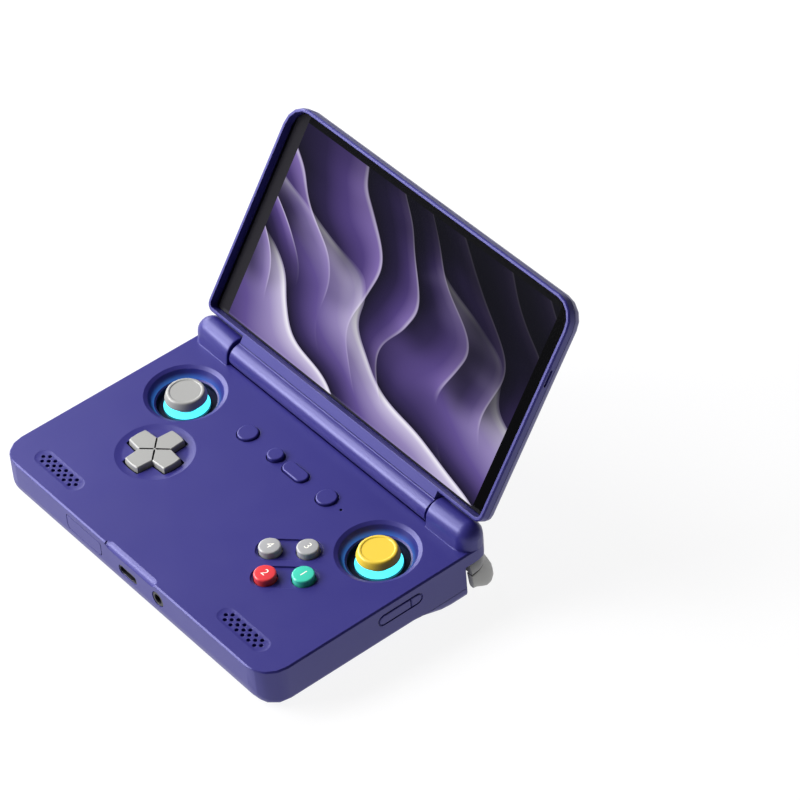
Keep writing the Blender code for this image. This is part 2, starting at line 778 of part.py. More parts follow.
def well_space():
    """The section of the space in that bowl: bevel, wall, ledge, inner wall, floor and the ring's seat."""
    return [
        (0, OVERRUN),
        (WELL_RADIUS + OVERRUN * WELL_BEVEL / WELL_BEVEL_DROP, OVERRUN),
        (WELL_RADIUS - WELL_BEVEL, -WELL_BEVEL_DROP),
        (WELL_LEDGE_RADIUS, -WELL_LEDGE_DEPTH),
        (WELL_FLOOR_RADIUS, -WELL_LEDGE_DEPTH - EDGE_CHAMFER),
        (WELL_FLOOR_RADIUS, -WELL_FLOOR_DEPTH),
        (RING_RADIUS + GAP, -WELL_FLOOR_DEPTH),
        (RING_RADIUS + GAP, -RING_SEAT),
        (WELL_HOLE, -RING_SEAT),
        (WELL_HOLE, -RING_SEAT - WELL_SKIN - OVERRUN),
        (0, -RING_SEAT - WELL_SKIN - OVERRUN),
    ]


def trough_outline():
    """The trough's section in y and z: close to the barrel in front, wider below for its heavy back."""
    near = BARREL_FRONT_RADIUS + GAP
    outline = arc(AXIS_BACK, AXIS_HEIGHT, near, TROUGH_TOP_ANGLE, TROUGH_NEAR_ANGLE, QUARTER_STEPS)
    outline += arc(
        AXIS_BACK, AXIS_HEIGHT, TROUGH_RADIUS, TROUGH_FAR_ANGLE, TROUGH_END_ANGLE, 3 * QUARTER_STEPS
    )
    return outline


def speaker_holes(name, sign):
    """The staggered rows of sound holes of one grille."""
    points = []
    faces = []
    low, high = CEILING - OVERRUN - WALL, OVERRUN
    for row, count in ((-1, 6), (0, 7), (1, 6)):
        for index in range(count):
            x = sign * GRILLE_X + (index - (count - 1) / 2) * HOLE_PITCH
            ring = circle(x, -GRILLE_Y + row * HOLE_ROW, HOLE_RADIUS, TINY_SIDES)
            start = len(points)
            points += [Vector((a, b, low)) for a, b in ring] + [Vector((a, b, high)) for a, b in ring]
            for step in range(TINY_SIDES):
                after = (step + 1) % TINY_SIDES
                faces.append(
                    (start + step, start + after, start + TINY_SIDES + after, start + TINY_SIDES + step)
                )
            faces.append(tuple(range(start, start + TINY_SIDES)))
            faces.append(tuple(range(start + TINY_SIDES, start + 2 * TINY_SIDES)))
    return solid(name, points, faces)


def cross_outline(reach, arm, bow, grow):
    """The direction pad's outline: four arms with slightly bowed ends."""
    half = arm / 2 + grow
    end = reach + grow
    outline = []
    for quarter in range(4):
        turn = quarter * pi / 2
        arms = [(half, -half), (end - bow, -half), (end, 0), (end - bow, half)]
        for a, b in arms:
            outline.append((a * cos(turn) - b * sin(turn), a * sin(turn) + b * cos(turn)))
    return outline


def shifted(outline, a, b):
    return [(x + a, y + b) for x, y in outline]


def face_places():
    """The four face buttons: name, x, y and colour."""
    return (
        ("upper_face_button", FACE_X, -FACE_Y + FACE_SPREAD, KEY_GREY),
        ("left_face_button", FACE_X - FACE_SPREAD, -FACE_Y, KEY_GREY),
        ("right_face_button", FACE_X + FACE_SPREAD, -FACE_Y, KEY_GREEN),
        ("lower_face_button", FACE_X, -FACE_Y - FACE_SPREAD, KEY_RED),
    )


def screw_places():
    """The case screws: name, x and y."""
    places = []
    for side, sign in (("left", -1), ("right", 1)):
        places.append((f"front_{side}_case_screw", sign * SCREW_FRONT_X, -SCREW_FRONT_Y))
        places.append((f"rear_{side}_case_screw", sign * SCREW_REAR_X, -SCREW_REAR_Y))
    return places


def foot_places():
    """The feet: name, x, y and the height of the housing above them."""
    places = []
    for side, sign in (("left", -1), ("right", 1)):
        places.append((f"front_{side}_foot", sign * FOOT_X, -FOOT_FRONT_Y, -BODY_HEIGHT))
        places.append((f"rear_{side}_foot", sign * REAR_FOOT_X, -FOOT_REAR_Y, -BODY_HEIGHT - HUMP_DROP))
    return places


def axle(name, radius, low, high, y, z, sides=SMALL_SIDES):
    """A round bar along X."""
    return prism(name, circle(y, z, radius, sides), low, high, "X")


def key_outline(front, back, grow):
    """The outline of a side key in y and z: round at the pill's ends, straight where it is divided."""
    radius = KEY_HEIGHT / 2 + grow
    low, high = -front - grow, -back + grow
    outline = []
    if front == KEY_FRONT:
        outline += arc(low + radius, -KEY_Z, radius, pi / 2, 1.5 * pi, 2 * QUARTER_STEPS)
    else:
        outline += [(low, -KEY_Z + radius), (low, -KEY_Z - radius)]
    if back == KEY_BACK:
        outline += arc(high - radius, -KEY_Z, radius, -pi / 2, pi / 2, 2 * QUARTER_STEPS)
    else:
        outline += [(high, -KEY_Z - radius), (high, -KEY_Z + radius)]
    return outline


def card_door_outline(grow):
    corner = DOOR_CORNER + grow
    small = DOOR_CORNER / 2 + grow
    return rounded(
        (-DOOR_LEFT - grow, -DOOR_RIGHT + grow),
        (-DOOR_BOTTOM - grow, -DOOR_TOP + grow),
        (corner, corner, small, small),
    )


def make_top_shell(root):
    shell = body_form("top_shell", 0)
    deep = -BODY_HEIGHT - HUMP_DROP - OVERRUN
    cut(shell, box("below", (-BODY_WIDTH, BODY_WIDTH), (-BODY_WIDTH, BODY_WIDTH), (deep, SPLIT)))
    cut(shell, inner_form("hollow", CEILING, WALL, -OVERRUN))
    cut(shell, shoulder_notch("left_notch", -1), shoulder_notch("right_notch", 1))
    knuckles = [knuckle("right_knuckle")]
    knuckles.append(mirrored("left_knuckle", knuckles[0]))
    wells = [
        turned("well", well_skin(), ROUND_SIDES, (sign * STICK_X, -STICK_Y, 0)) for sign in (-1, 1)
    ]
    bosses = [
        prism("boss", circle(x, y, BOSS_RADIUS, SMALL_SIDES), FLOOR_TOP + GAP, CEILING + BITE)
        for _, x, y in screw_places()
    ]
    dish = prism(
        "dish_pad", circle(-PAD_X, -PAD_Y, DISH_RADIUS, ROUND_SIDES), CEILING - DISH_DEPTH, CEILING + BITE
    )
    join(shell, *knuckles, *wells, *bosses, dish)
    trough = prism("trough", trough_outline(), -TROUGH_HALF, TROUGH_HALF, "X")
    sill = box("sill", (-TROUGH_HALF, TROUGH_HALF), (AXIS_BACK, REAR + OVERRUN), (-REAR_SILL, OVERRUN))
    shaft_end = BARREL_HALF + SHAFT_LENGTH / 2 + GAP
    bores = [
        axle(
            "bore", SHAFT_RADIUS + GAP, *sorted((s * shaft_end, s * TROUGH_HALF)), AXIS_BACK, AXIS_HEIGHT
        )
        for s in (-1, 1)
    ]
    cut(shell, trough, sill)
    cut(shell, *bores)
    bowls = [
        turned("bowl", well_space(), FINE_SIDES, (sign * STICK_X, -STICK_Y, 0)) for sign in (-1, 1)
    ]
    cut(shell, *bowls)
    cut_panel_holes(shell)
    cut_wall_holes(shell)
    screws = [
        prism("pilot", circle(x, y, BOSS_BORE, TINY_SIDES), FLOOR_TOP, FLOOR_TOP + SCREW_LENGTH)
        for _, x, y in screw_places()
    ]
    cut(shell, *screws)
    finish(shell, root, BODY_BLUE, 0.42)
    return shell


def cut_panel_holes(shell):
    """The openings in the control panel for the pad, the buttons, the speakers and the microphone."""
    deep = CEILING - DISH_DEPTH - OVERRUN
    slope = DISH_RADIUS - DISH_FLOOR
    dish = [
        (0, OVERRUN),
        (DISH_RADIUS + OVERRUN * slope / DISH_DEPTH, OVERRUN),
        (DISH_FLOOR, -DISH_DEPTH),
        (0, -DISH_DEPTH),
    ]
    cut(shell, turned("dish", dish, FINE_SIDES, (-PAD_X, -PAD_Y, 0)))
    cross = cross_outline(PAD_REACH, PAD_ARM, PAD_BOW, PAD_FLARE + 2 * GAP)
    cut(shell, prism("cross", shifted(cross, -PAD_X, -PAD_Y), deep, OVERRUN))
    pair = FACE_SPREAD * sqrt(2) + FACE_RECESS_WIDTH
    offset = FACE_SPREAD / 2
    recesses = [
        prism(
            "recess",
            stadium(
                FACE_X + s * offset,
                -FACE_Y - s * offset,
                pair,
                FACE_RECESS_WIDTH,
                pi / 4,
                2 * QUARTER_STEPS,
            ),
            -FACE_RECESS_DEPTH,
            OVERRUN,
        )
        for s in (-1, 1)
    ]
    cut(shell, recesses[0])
    cut(shell, recesses[1])
    holes = [
        prism("hole", circle(x, y, FACE_RADIUS + GAP, ROUND_SIDES), deep, OVERRUN)
        for _, x, y, _ in face_places()
    ]
    holes += [
        prism("hole", circle(s * OPTION_X, -MENU_Y, OPTION_RADIUS + GAP, ROUND_SIDES), deep, OVERRUN)
        for s in (-1, 1)
    ]
    holes.append(prism("hole", circle(-HOME_X, -MENU_Y, HOME_RADIUS + GAP, ROUND_SIDES), deep, OVERRUN))
    oval = stadium(OVAL_X, -MENU_Y, OVAL_LENGTH + 2 * GAP, OVAL_WIDTH + 2 * GAP)
    holes.append(prism("hole", oval, deep, OVERRUN))
    holes.append(prism("hole", circle(MIC_X, -MENU_Y, MIC_RADIUS, TINY_SIDES), deep, OVERRUN))
    cut(shell, *holes)
    sinks = [
        prism(
            "sink", stadium(s * GRILLE_X, -GRILLE_Y, GRILLE_LENGTH, GRILLE_WIDTH), -GRILLE_SINK, OVERRUN
        )
        for s in (-1, 1)
    ]
    cut(shell, *sinks)
    cut(shell, speaker_holes("left_holes", -1), speaker_holes("right_holes", 1))


def cut_wall_holes(shell):
    """The openings in the front, right and rear walls."""
    front = -BODY_FRONT
    through = (front - OVERRUN, front + WALL + OVERRUN)
    door = prism("door", card_door_outline(SEAM), *through, "Y")
    port = prism(
        "port", stadium(-PORT_X, -PORT_Z, PORT_WIDTH + 2 * SEAM, PORT_HEIGHT + 2 * SEAM), *through, "Y"
    )
    jack = prism("jack", circle(JACK_X, -JACK_Z, JACK_RADIUS + SEAM, ROUND_SIDES), *through, "Y")
    cut(shell, door, port, jack)
    lip = [
        [
            Vector((x, front - OVERRUN, -LIP_DROP - OVERRUN * LIP_DROP / LIP_CUT * reach)),
            Vector((x, front - OVERRUN, OVERRUN)),
            Vector((x, front + LIP_CUT * reach + OVERRUN * LIP_CUT / LIP_DROP * reach, OVERRUN)),
        ]
        for x, reach in (
            (-LIP_LEFT, LIP_END_SHARE),
            (-LIP_LEFT + LIP_DROP, 1),
            (LIP_RIGHT - LIP_DROP, 1),
            (LIP_RIGHT, LIP_END_SHARE),
        )
    ]
    cut(shell, loft("lip", lip, True))
    wall = (HALF - WALL - OVERRUN, HALF + OVERRUN)
    sink = prism("sink", key_outline(KEY_FRONT, KEY_BACK, SEAM + KEY_SINK), HALF - KEY_SINK, wall[1], "X")
    cut(shell, sink)
    cut(shell, prism("keys", key_outline(KEY_FRONT, KEY_BACK, SEAM), *wall, "X"))
    middle = (SPLIT - SHOULDER_CEILING) / 2
    vents = [
        prism(
            "vent",
            stadium((index - (VENTS - 1) / 2) * VENT_PITCH, middle, VENT_HEIGHT, VENT_WIDTH, pi / 2, 1),
            REAR - WALL - OVERRUN,
            REAR + OVERRUN,
            "Y",
        )
        for index in range(VENTS)
    ]
    cut(shell, *vents)


def make_bottom_shell(root):
    shell = body_form("bottom_shell", 0)
    split = SPLIT - SEAM
    cut(shell, box("above", (-BODY_WIDTH, BODY_WIDTH), (-BODY_WIDTH, BODY_WIDTH), (split, OVERRUN)))
    cut(shell, shoulder_notch("left_notch", -1), shoulder_notch("right_notch", 1))
    join(shell, inner_form("lip", SPLIT + LIP_HEIGHT, WALL + GAP, FLOOR / 2))
    cut(shell, inner_form("hollow", SPLIT + LIP_HEIGHT + OVERRUN, WALL + GAP + LIP_WALL, FLOOR))
    cuts = []
    for _, x, y in screw_places():
        cuts.append(
            prism("hole", circle(x, y, BOSS_BORE, SMALL_SIDES), -BODY_HEIGHT - OVERRUN, OVERRUN + FLOOR_TOP),
        )
        cuts.append(
            prism(
                "head",
                circle(x, y, SCREW_HEAD + GAP, SMALL_SIDES),
                -BODY_HEIGHT - OVERRUN,
                -BODY_HEIGHT + SCREW_SINK + SCREW_HEAD_THICK - BITE,
            )
        )
    for cutter in cuts:
        cut(shell, cutter)
    feet = [
        prism(
            "recess",
            stadium(x, y, FOOT_LENGTH + 2 * GAP, FOOT_WIDTH + 2 * GAP),
            low - OVERRUN,
            low + FOOT_SINK,
        )
        for _, x, y, low in foot_places()
    ]
    cut(shell, *feet)
    slots = []
    for index in range(INTAKE_SLOTS):
        x = (index - (INTAKE_SLOTS - 1) / 2) * INTAKE_PITCH
        length = 2 * sqrt(INTAKE_RADIUS**2 - x**2)
        slots.append(
            prism(
                "slot",
                stadium(x, -FAN_Y, length, INTAKE_WIDTH, pi / 2, 1),
                -BODY_HEIGHT - HUMP_DROP - OVERRUN,
                -BODY_HEIGHT + FLOOR + OVERRUN,
            )
        )
    cut(shell, *slots)
    finish(shell, root, BODY_BLUE, 0.45)
    return shell


# Lid
def lid_outline(inset, low_corner, steps=CORNER_STEPS):
    """The lid's outline in its own plane: across and away from the hinge."""
    top = max(LID_TOP_CORNER - inset, BITE)
    low = max(low_corner - inset, BITE)
    return rounded(
        (-HALF + inset, HALF - inset), (LID_START + inset, LID_END - inset), (low, low, top, top), steps
    )


def opening_outline(grow):
    top = LID_TOP_CORNER - RIM_WIDTH + grow
    low = LID_LOW_CORNER - RIM_WIDTH + grow
    return rounded(
        (-OPENING_HALF - grow, OPENING_HALF + grow),
        (OPENING_LOW - grow, OPENING_HIGH + grow),
        (low, low, top, top),
        CORNER_STEPS,
    )


def barrel_profile():
    """The barrel's section in the lid's own frame: along the lid, and towards the screen side."""
    edge = OPENING_LOW - RIM_BOTTOM + LID_SPLIT
    start = atan2(LID_RIM, edge)
    points = [(edge + GAP, LID_RIM)]
    points += arc(0, 0, BARREL_FRONT_RADIUS, start, pi, 3 * QUARTER_STEPS)
    steps = 2 * QUARTER_STEPS
    for step in range(1, steps + 1):
        share = step / steps
        radius = BARREL_FRONT_RADIUS + (BARREL_BACK_RADIUS - BARREL_FRONT_RADIUS) * ease(share)
        angle = pi + pi / 2 * share
        points.append((radius * cos(angle), radius * sin(angle)))
    inner = LID_BACK + LID_BACK_WALL - BITE / 2
    deep = LID_START + LID_ROUND + OVERRUN
    shelf = OPENING_LOW + BITE / 2
    points += [
        (deep, LID_BACK), (deep, inner), (shelf, inner), (shelf, COVER_FACE), (edge + GAP, COVER_FACE)
    ]
    return points


def make_lid_cover(lid):
    rings = []
    levels = [COVER_FACE, LID_BACK + LID_ROUND]
    for step in range(1, CORNER_STEPS + 1):
        levels.append(LID_BACK + LID_ROUND * (1 - sin(pi / 2 * step / CORNER_STEPS)))
    for level in levels:
        into = max(LID_ROUND - (level - LID_BACK), 0)
        inset = LID_ROUND - sqrt(max(LID_ROUND**2 - into**2, 0))
        rings.append([Vector((x, y, level)) for x, y in lid_outline(inset, LID_LOW_CORNER)])
    cover = loft("lid_cover", rings)
    barrel = prism("barrel", barrel_profile(), -BARREL_HALF, BARREL_HALF, "X")
    join(cover, barrel)
    glass_floor = LID_RIM - GLASS_DEPTH - GLASS_THICK - SEAM
    wide = prism("wide", opening_outline(0), glass_floor, LID_RIM + OVERRUN)
    shelf = SCREEN_SHELF
    deep = rounded(
        (-OPENING_HALF + shelf, OPENING_HALF - shelf),
        (OPENING_LOW + RIM_WIDTH, OPENING_HIGH - shelf),
        (RIM_WIDTH, RIM_WIDTH, LID_TOP_CORNER / 2, LID_TOP_CORNER / 2),
    )
    well = prism("well", deep, LID_BACK + LID_BACK_WALL, LID_RIM)
    shaft = SHAFT_LENGTH / 2 + GAP
    bores = [
        axle(
            "bore",
            SHAFT_RADIUS + GAP,
            *sorted((s * (BARREL_HALF - shaft), s * (BARREL_HALF + OVERRUN))),
            0,
            0,
        )
        for s in (-1, 1)
    ]
    cut(cover, wide)
    cut(cover, well)
    cut(cover, *bores)
    finish(cover, lid, BODY_DEEP, 0.42)
    return cover


def make_lid_bezel(lid):
    rings = [
        [Vector((x, y, level)) for x, y in lid_outline(inset, LID_LOW_CORNER)]
        for level, inset in ((BEZEL_BACK, 0), (LID_RIM - LID_EDGE, 0), (LID_RIM, LID_EDGE))
    ]
    bezel = loft("lid_bezel", rings)
    edge = OPENING_LOW - RIM_BOTTOM + LID_SPLIT + GAP + SEAM
    strip = box(
        "strip",
        (-BARREL_HALF + GAP, BARREL_HALF - GAP),
        (edge, LID_START + RIM_WIDTH / 2),
        (BEZEL_BACK, LID_RIM),
    )
    join(bezel, strip)
    cut(bezel, prism("opening", opening_outline(0), BEZEL_BACK - OVERRUN, LID_RIM + OVERRUN))
    middle = LID_RIM - (LID_RIM - BEZEL_BACK) / 2
    notch = stadium(NOTCH_HEIGHT_SHARE * LID_END, middle, NOTCH_LENGTH, NOTCH_WIDTH, 0, 2)
    notches = [
        prism("notch", notch, *sorted((s * (HALF - NOTCH_DEPTH), s * (HALF + OVERRUN))), "X") for s in (
            -1, 1
        )
    ]
    cut(bezel, *notches)
    finish(bezel, lid, BODY_BLUE, 0.42)
    return bezel


def make_screen(lid):
    top = LID_RIM - GLASS_DEPTH
    glass = prism("screen_glass", opening_outline(-GAP), top - GLASS_THICK, top)
    finish(glass, lid, GLASS_BLACK, 0.06)
    shelf = SCREEN_SHELF + GAP
    outline = rounded(
        (-OPENING_HALF + shelf, OPENING_HALF - shelf),
        (OPENING_LOW + RIM_WIDTH + GAP, OPENING_HIGH - shelf),
        (RIM_WIDTH, RIM_WIDTH, LID_TOP_CORNER / 2, LID_TOP_CORNER / 2),
    )
    back = top - GLASS_THICK - GAP
    panel = prism("display_panel", outline, back - PANEL_THICK, back)
    finish(panel, lid, BLACK, 0.35)


def make_hinge_shafts(root):
    for side, sign in (("left", -1), ("right", 1)):
        ends = sorted(sign * (BARREL_HALF + s * SHAFT_LENGTH / 2) for s in (-1, 1))
        shaft = axle(side + "_hinge_shaft", SHAFT_RADIUS, *ends, AXIS_BACK, AXIS_HEIGHT, ROUND_SIDES)
        finish(shaft, root, STEEL, 0.3, 1.0)


# Sticks
def stick_profile():
    """The stick's section: cap, stem and the dome that closes the well's hole."""
    profile = [(CAP_RADIUS * r, CAP_TOP * h) for r, h in CAP_SHARES]
    profile += [
        (CAP_RADIUS, -CAP_UNDER / 3),
        (CAP_RADIUS - EDGE_CHAMFER, -CAP_UNDER),
        (STEM_RADIUS + EDGE_CHAMFER, -CAP_UNDER),
        (STEM_RADIUS, -CAP_UNDER - EDGE_CHAMFER),
    ]
    start = asin(STEM_RADIUS / DOME_RADIUS)
    end = pi / 2 - asin((STICK_PIVOT - DOME_BOTTOM) / DOME_RADIUS)
    for step in range(QUARTER_STEPS):
        angle = start + (end - start) * step / (QUARTER_STEPS - 1)
        profile.append((DOME_RADIUS * sin(angle), -STICK_PIVOT + DOME_RADIUS * cos(angle)))
    bore = POST_RADIUS + GAP
    ceiling = -POST_TOP + CLICK_TRAVEL + GAP
    profile += [(bore, -DOME_BOTTOM), (bore, ceiling), (0, ceiling)]
    return profile


def make_sticks(root):
    pivot_z = -STICK_PIVOT
    for side, sign, colour in (("left", -1, STICK_GREY), ("right", 1, STICK_YELLOW)):
        x, y = sign * STICK_X, -STICK_Y
        ring_profile = [
            (RING_RADIUS, -RING_TOP),
            (RING_RADIUS, -RING_SEAT + GAP),
            (RING_INNER, -RING_SEAT + GAP),
            (RING_INNER, -RING_TOP),
        ]
        ring = turned(side + "_light_ring", ring_profile, ROUND_SIDES, (x, y, 0))
        finish(ring, root, RING_CYAN, 0.3)
        half = GIMBAL_SIZE / 2
        low = FLOOR_TOP + GAP
        base = box(side + "_stick_base", (x - half, x + half), (y - half, y + half), (low, -GIMBAL_TOP))
        room = half - GIMBAL_WALL
        cut(
            base,
            box(
                "room",
                (x - room, x + room),
                (y - room, y + room),
                (low + GIMBAL_FLOOR, -GIMBAL_TOP + OVERRUN),
            ),
        )
        slot = AXLE_RADIUS + SEAM
        slot_floor = pivot_z - slot
        cut(
            base,
            box(
                "slot",
                (x - half - OVERRUN, x + half + OVERRUN),
                (y - slot, y + slot),
                (slot_floor, OVERRUN),
            ),
        )
        finish(base, root, BLACK, 0.5)
        outer = YOKE_SIZE / 2
        inner = outer - YOKE_WIDTH
        high = pivot_z + YOKE_THICK / 2
        yoke = box(
            side + "_stick_yoke",
            (x - outer, x + outer),
            (y - outer, y + outer),
            (pivot_z - YOKE_THICK / 2, high),
        )
        cut(yoke, box("room", (x - inner, x + inner), (y - inner, y + inner), (-BODY_HEIGHT, 0)))
        pin = half - SEAM
        join(yoke, *[
            axle("axle", AXLE_RADIUS, *sorted((x + s * pin, x + s * (outer - BITE))), y, pivot_z)
            for s in (-1, 1)
        ])
        cut(
            yoke, box("slot", (x - slot, x + slot), (y - BODY_WIDTH, y + BODY_WIDTH), (pivot_z - slot, 0))
        )
        finish(yoke, root, STEEL, 0.35, 1.0, (x, y, pivot_z))
        size = HUB_SIZE / 2
        hub = box(
            side + "_stick_hub",
            (x - size, x + size),
            (y - size, y + size),
            (pivot_z - YOKE_THICK / 2, high),
        )
        reach = outer - SEAM
        cross_axles = [
            prism(
                "axle",
                circle(x, pivot_z, AXLE_RADIUS, SMALL_SIDES),
                *sorted((y + s * reach, y + s * (size - BITE))),
                "Y",
            )
            for s in (-1, 1)
        ]
        post = prism("post", circle(x, y, POST_RADIUS, SMALL_SIDES), high - BITE, -POST_TOP)
        join(hub, *cross_axles, post)
        finish(hub, root, STEEL, 0.35, 1.0, (x, y, pivot_z))
        stick = turned(side + "_stick", stick_profile(), ROUND_SIDES, (x, y, 0))
        finish(stick, root, colour, 0.38, 0.0, (x, y, pivot_z))


# Direction pad
def make_direction_pad(root):
    x, y = -PAD_X, -PAD_Y
    top = PAD_TOP
    levels = (
        (-PAD_FLANGE_TOP - BITE, PAD_FLARE),
        (-DISH_DEPTH, PAD_FLARE),
        (top - PAD_EDGE, 0),
        (top, -PAD_EDGE),
    )
    rings = [
        [Vector((a + x, b + y, level)) for a, b in cross_outline(PAD_REACH, PAD_ARM, PAD_BOW, grow)]
        for level, grow in levels
    ]
    pad = loft("direction_pad", rings)
    low = -PAD_FLANGE_LOW
    flange = prism("flange", circle(x, y, PAD_FLANGE_RADIUS, ROUND_SIDES), low, -PAD_FLANGE_TOP)
    join(pad, flange)
    reach = PAD_ARM / sqrt(2) - GROOVE_WIDTH
    grooves = []
    for turn in (pi / 4, -pi / 4):
        outline = stadium(x, y, 2 * reach, GROOVE_WIDTH, turn, 1)
        grooves.append(prism("groove", outline, top - GROOVE_DEPTH, top + OVERRUN))
    for groove in grooves:
        cut(pad, groove)
    pin = 2 * PAD_PIN
    pocket = pin + GAP
    ceiling = -PAD_PIVOT + pocket + PAD_PIN
    cut(pad, box("pocket", (x - pocket, x + pocket), (y - pocket, y + pocket), (low - OVERRUN, ceiling)))
    finish(pad, root, STICK_GREY, 0.4, 0.0, (x, y, -PAD_PIVOT))
    block = box(
        "direction_pad_pivot",
        (x - pin, x + pin),
        (y - pin, y + pin),
        (SHEET_TOP + SEAM, -PAD_PIVOT + pin),
    )
    finish(block, root, BLACK, 0.5, 0.0, (x, y, -PAD_PIVOT))


# Buttons on the panel
def button(name, x, y, length, width, top, edge):
    """A round or oval button with a bevelled cap, and a flange under the panel."""
    under = CEILING - GAP

    def outline(grow):
        if length == width:
            return circle(x, y, width / 2 + grow, ROUND_SIDES)
        return stadium(x, y, length + 2 * grow, width + 2 * grow)

    levels = ((under - FLANGE_THICK / 2, 0), (top - edge, 0), (top - edge / 3, -edge / 3), (top, -edge))
    cap = loft(name, [[Vector((a, b, level)) for a, b in outline(grow)] for level, grow in levels])
    flange = prism("flange", outline(FLANGE_OUT), under - FLANGE_THICK, under)
    join(cap, flange)
    return cap


def make_buttons(root):
    wide = 2 * FACE_RADIUS
    for name, x, y, colour in face_places():
        cap = button(name, x, y, wide, wide, FACE_TOP, FACE_EDGE)
        finish(cap, root, colour, 0.3, 0.0, (x, y, 0))
    option, home = 2 * OPTION_RADIUS, 2 * HOME_RADIUS
    for name, x, length, width, top in (
        ("left_option_button", -OPTION_X, option, option, OPTION_TOP),
        ("right_option_button", OPTION_X, option, option, OPTION_TOP),
        ("home_button", -HOME_X, home, home, HOME_TOP),
        ("oval_button", OVAL_X, OVAL_LENGTH, OVAL_WIDTH, OVAL_TOP),
    ):
        cap = button(name, x, -MENU_Y, length, width, top, BUTTON_EDGE)
        finish(cap, root, BODY_BLUE, 0.42, 0.0, (x, -MENU_Y, 0))


def rubber_pad(name, outline, domes, height, root):
    """A rubber sheet on the mainboard with a dome under each contact."""
    low = BOARD_TOP + SEAM
    sheet = prism(name, outline, low, low + KEYPAD_THICK)
    tops = []
    for x, y in domes:
        rings = [
            [Vector((a, b, level)) for a, b in circle(x, y, radius, TINY_SIDES)]
            for level, radius in (
                (low + KEYPAD_THICK / 2, DOME_WIDE),
                (low + KEYPAD_THICK, DOME_WIDE),
                (low + KEYPAD_THICK + height, DOME_WIDE * 2 / 3),
            )
        ]
        tops.append(loft("dome", rings))
    join(sheet, *tops)
    finish(sheet, root, SILICONE, 0.6)


def make_key_pads(root):
    reach = PAD_REACH * PAD_DOME_SHARE
    spots = [(-PAD_X + reach * a, -PAD_Y + reach * b) for a, b in ((1, 0), (0, 1), (-1, 0), (0, -1))]
    rubber_pad(
        "left_key_pad", circle(-PAD_X, -PAD_Y, PAD_FLANGE_RADIUS, ROUND_SIDES), spots, DOME_LOW, root
    )
    spots = [(x, y) for _, x, y, _ in face_places()]
    reach = FACE_SPREAD + FACE_RADIUS
    rubber_pad("right_key_pad", circle(FACE_X, -FACE_Y, reach, ROUND_SIDES), spots, DOME_HIGH, root)
    spots = [(-OPTION_X, -MENU_Y), (-HOME_X, -MENU_Y), (OVAL_X, -MENU_Y), (OPTION_X, -MENU_Y)]
    length = 2 * (OPTION_X + OPTION_RADIUS)
    rubber_pad("menu_key_pad", stadium(0, -MENU_Y, length, 2 * OPTION_RADIUS), spots, DOME_HIGH, root)


# Side keys
def side_key(name, front, back):
    """One key in the right wall: a cap, a flange behind the wall and two stems."""
    inner = HALF - WALL - GAP
    top = HALF + KEY_PROUD - KEY_SINK
    rings = [
        [along("X", a, b, level) for a, b in key_outline(front, back, grow)]
        for level, grow in ((inner - BITE, 0), (top - BUTTON_EDGE / 2, 0), (top, -BUTTON_EDGE / 2))
    ]
    key = loft(name, rings)
    spare_front = BUTTON_EDGE if front == KEY_FRONT else 0
    spare_back = BUTTON_EDGE if back == KEY_BACK else 0
    reach = KEY_HEIGHT / 2 + BUTTON_EDGE
    flange = box(
        "flange",
        (inner - KEY_THICK / 2, inner),
        (-front - spare_front, -back + spare_back),
        (-KEY_Z - reach, -KEY_Z + reach),
    )
    stem_reach = SIDE_BOARD_X + SIDE_BOARD_THICK + 2 * GAP
    middle = -(front + back) / 2
    spread = (front - back - KEY_HEIGHT) / 2
    stems = [
        axle("stem", KEY_STEM / 2, stem_reach, inner - BITE, middle + s * spread, -KEY_Z, TINY_SIDES)
        for s in ((-1, 1) if spread > KEY_STEM else (0,))
    ]
    join(key, flange, *stems)
    return key, middle


def make_side_keys(root):
    key, middle = side_key("volume_rocker", KEY_FRONT, KEY_SPLIT + SEAM)
    finish(key, root, BODY_BLUE, 0.42, 0.0, (HALF - WALL, middle, -KEY_Z))
    key, middle = side_key("power_button", KEY_SPLIT - SEAM, KEY_BACK)
    finish(key, root, BODY_BLUE, 0.42, 0.0, (HALF - WALL, middle, -KEY_Z))
    board = box(
        "side_key_board",
        (SIDE_BOARD_X, SIDE_BOARD_X + SIDE_BOARD_THICK),
        (-KEY_FRONT, -KEY_BACK),
        (-KEY_Z - SIDE_BOARD_HEIGHT / 2, -KEY_Z + SIDE_BOARD_HEIGHT / 2),
    )
    finish(board, root, BOARD_GREEN, 0.5)


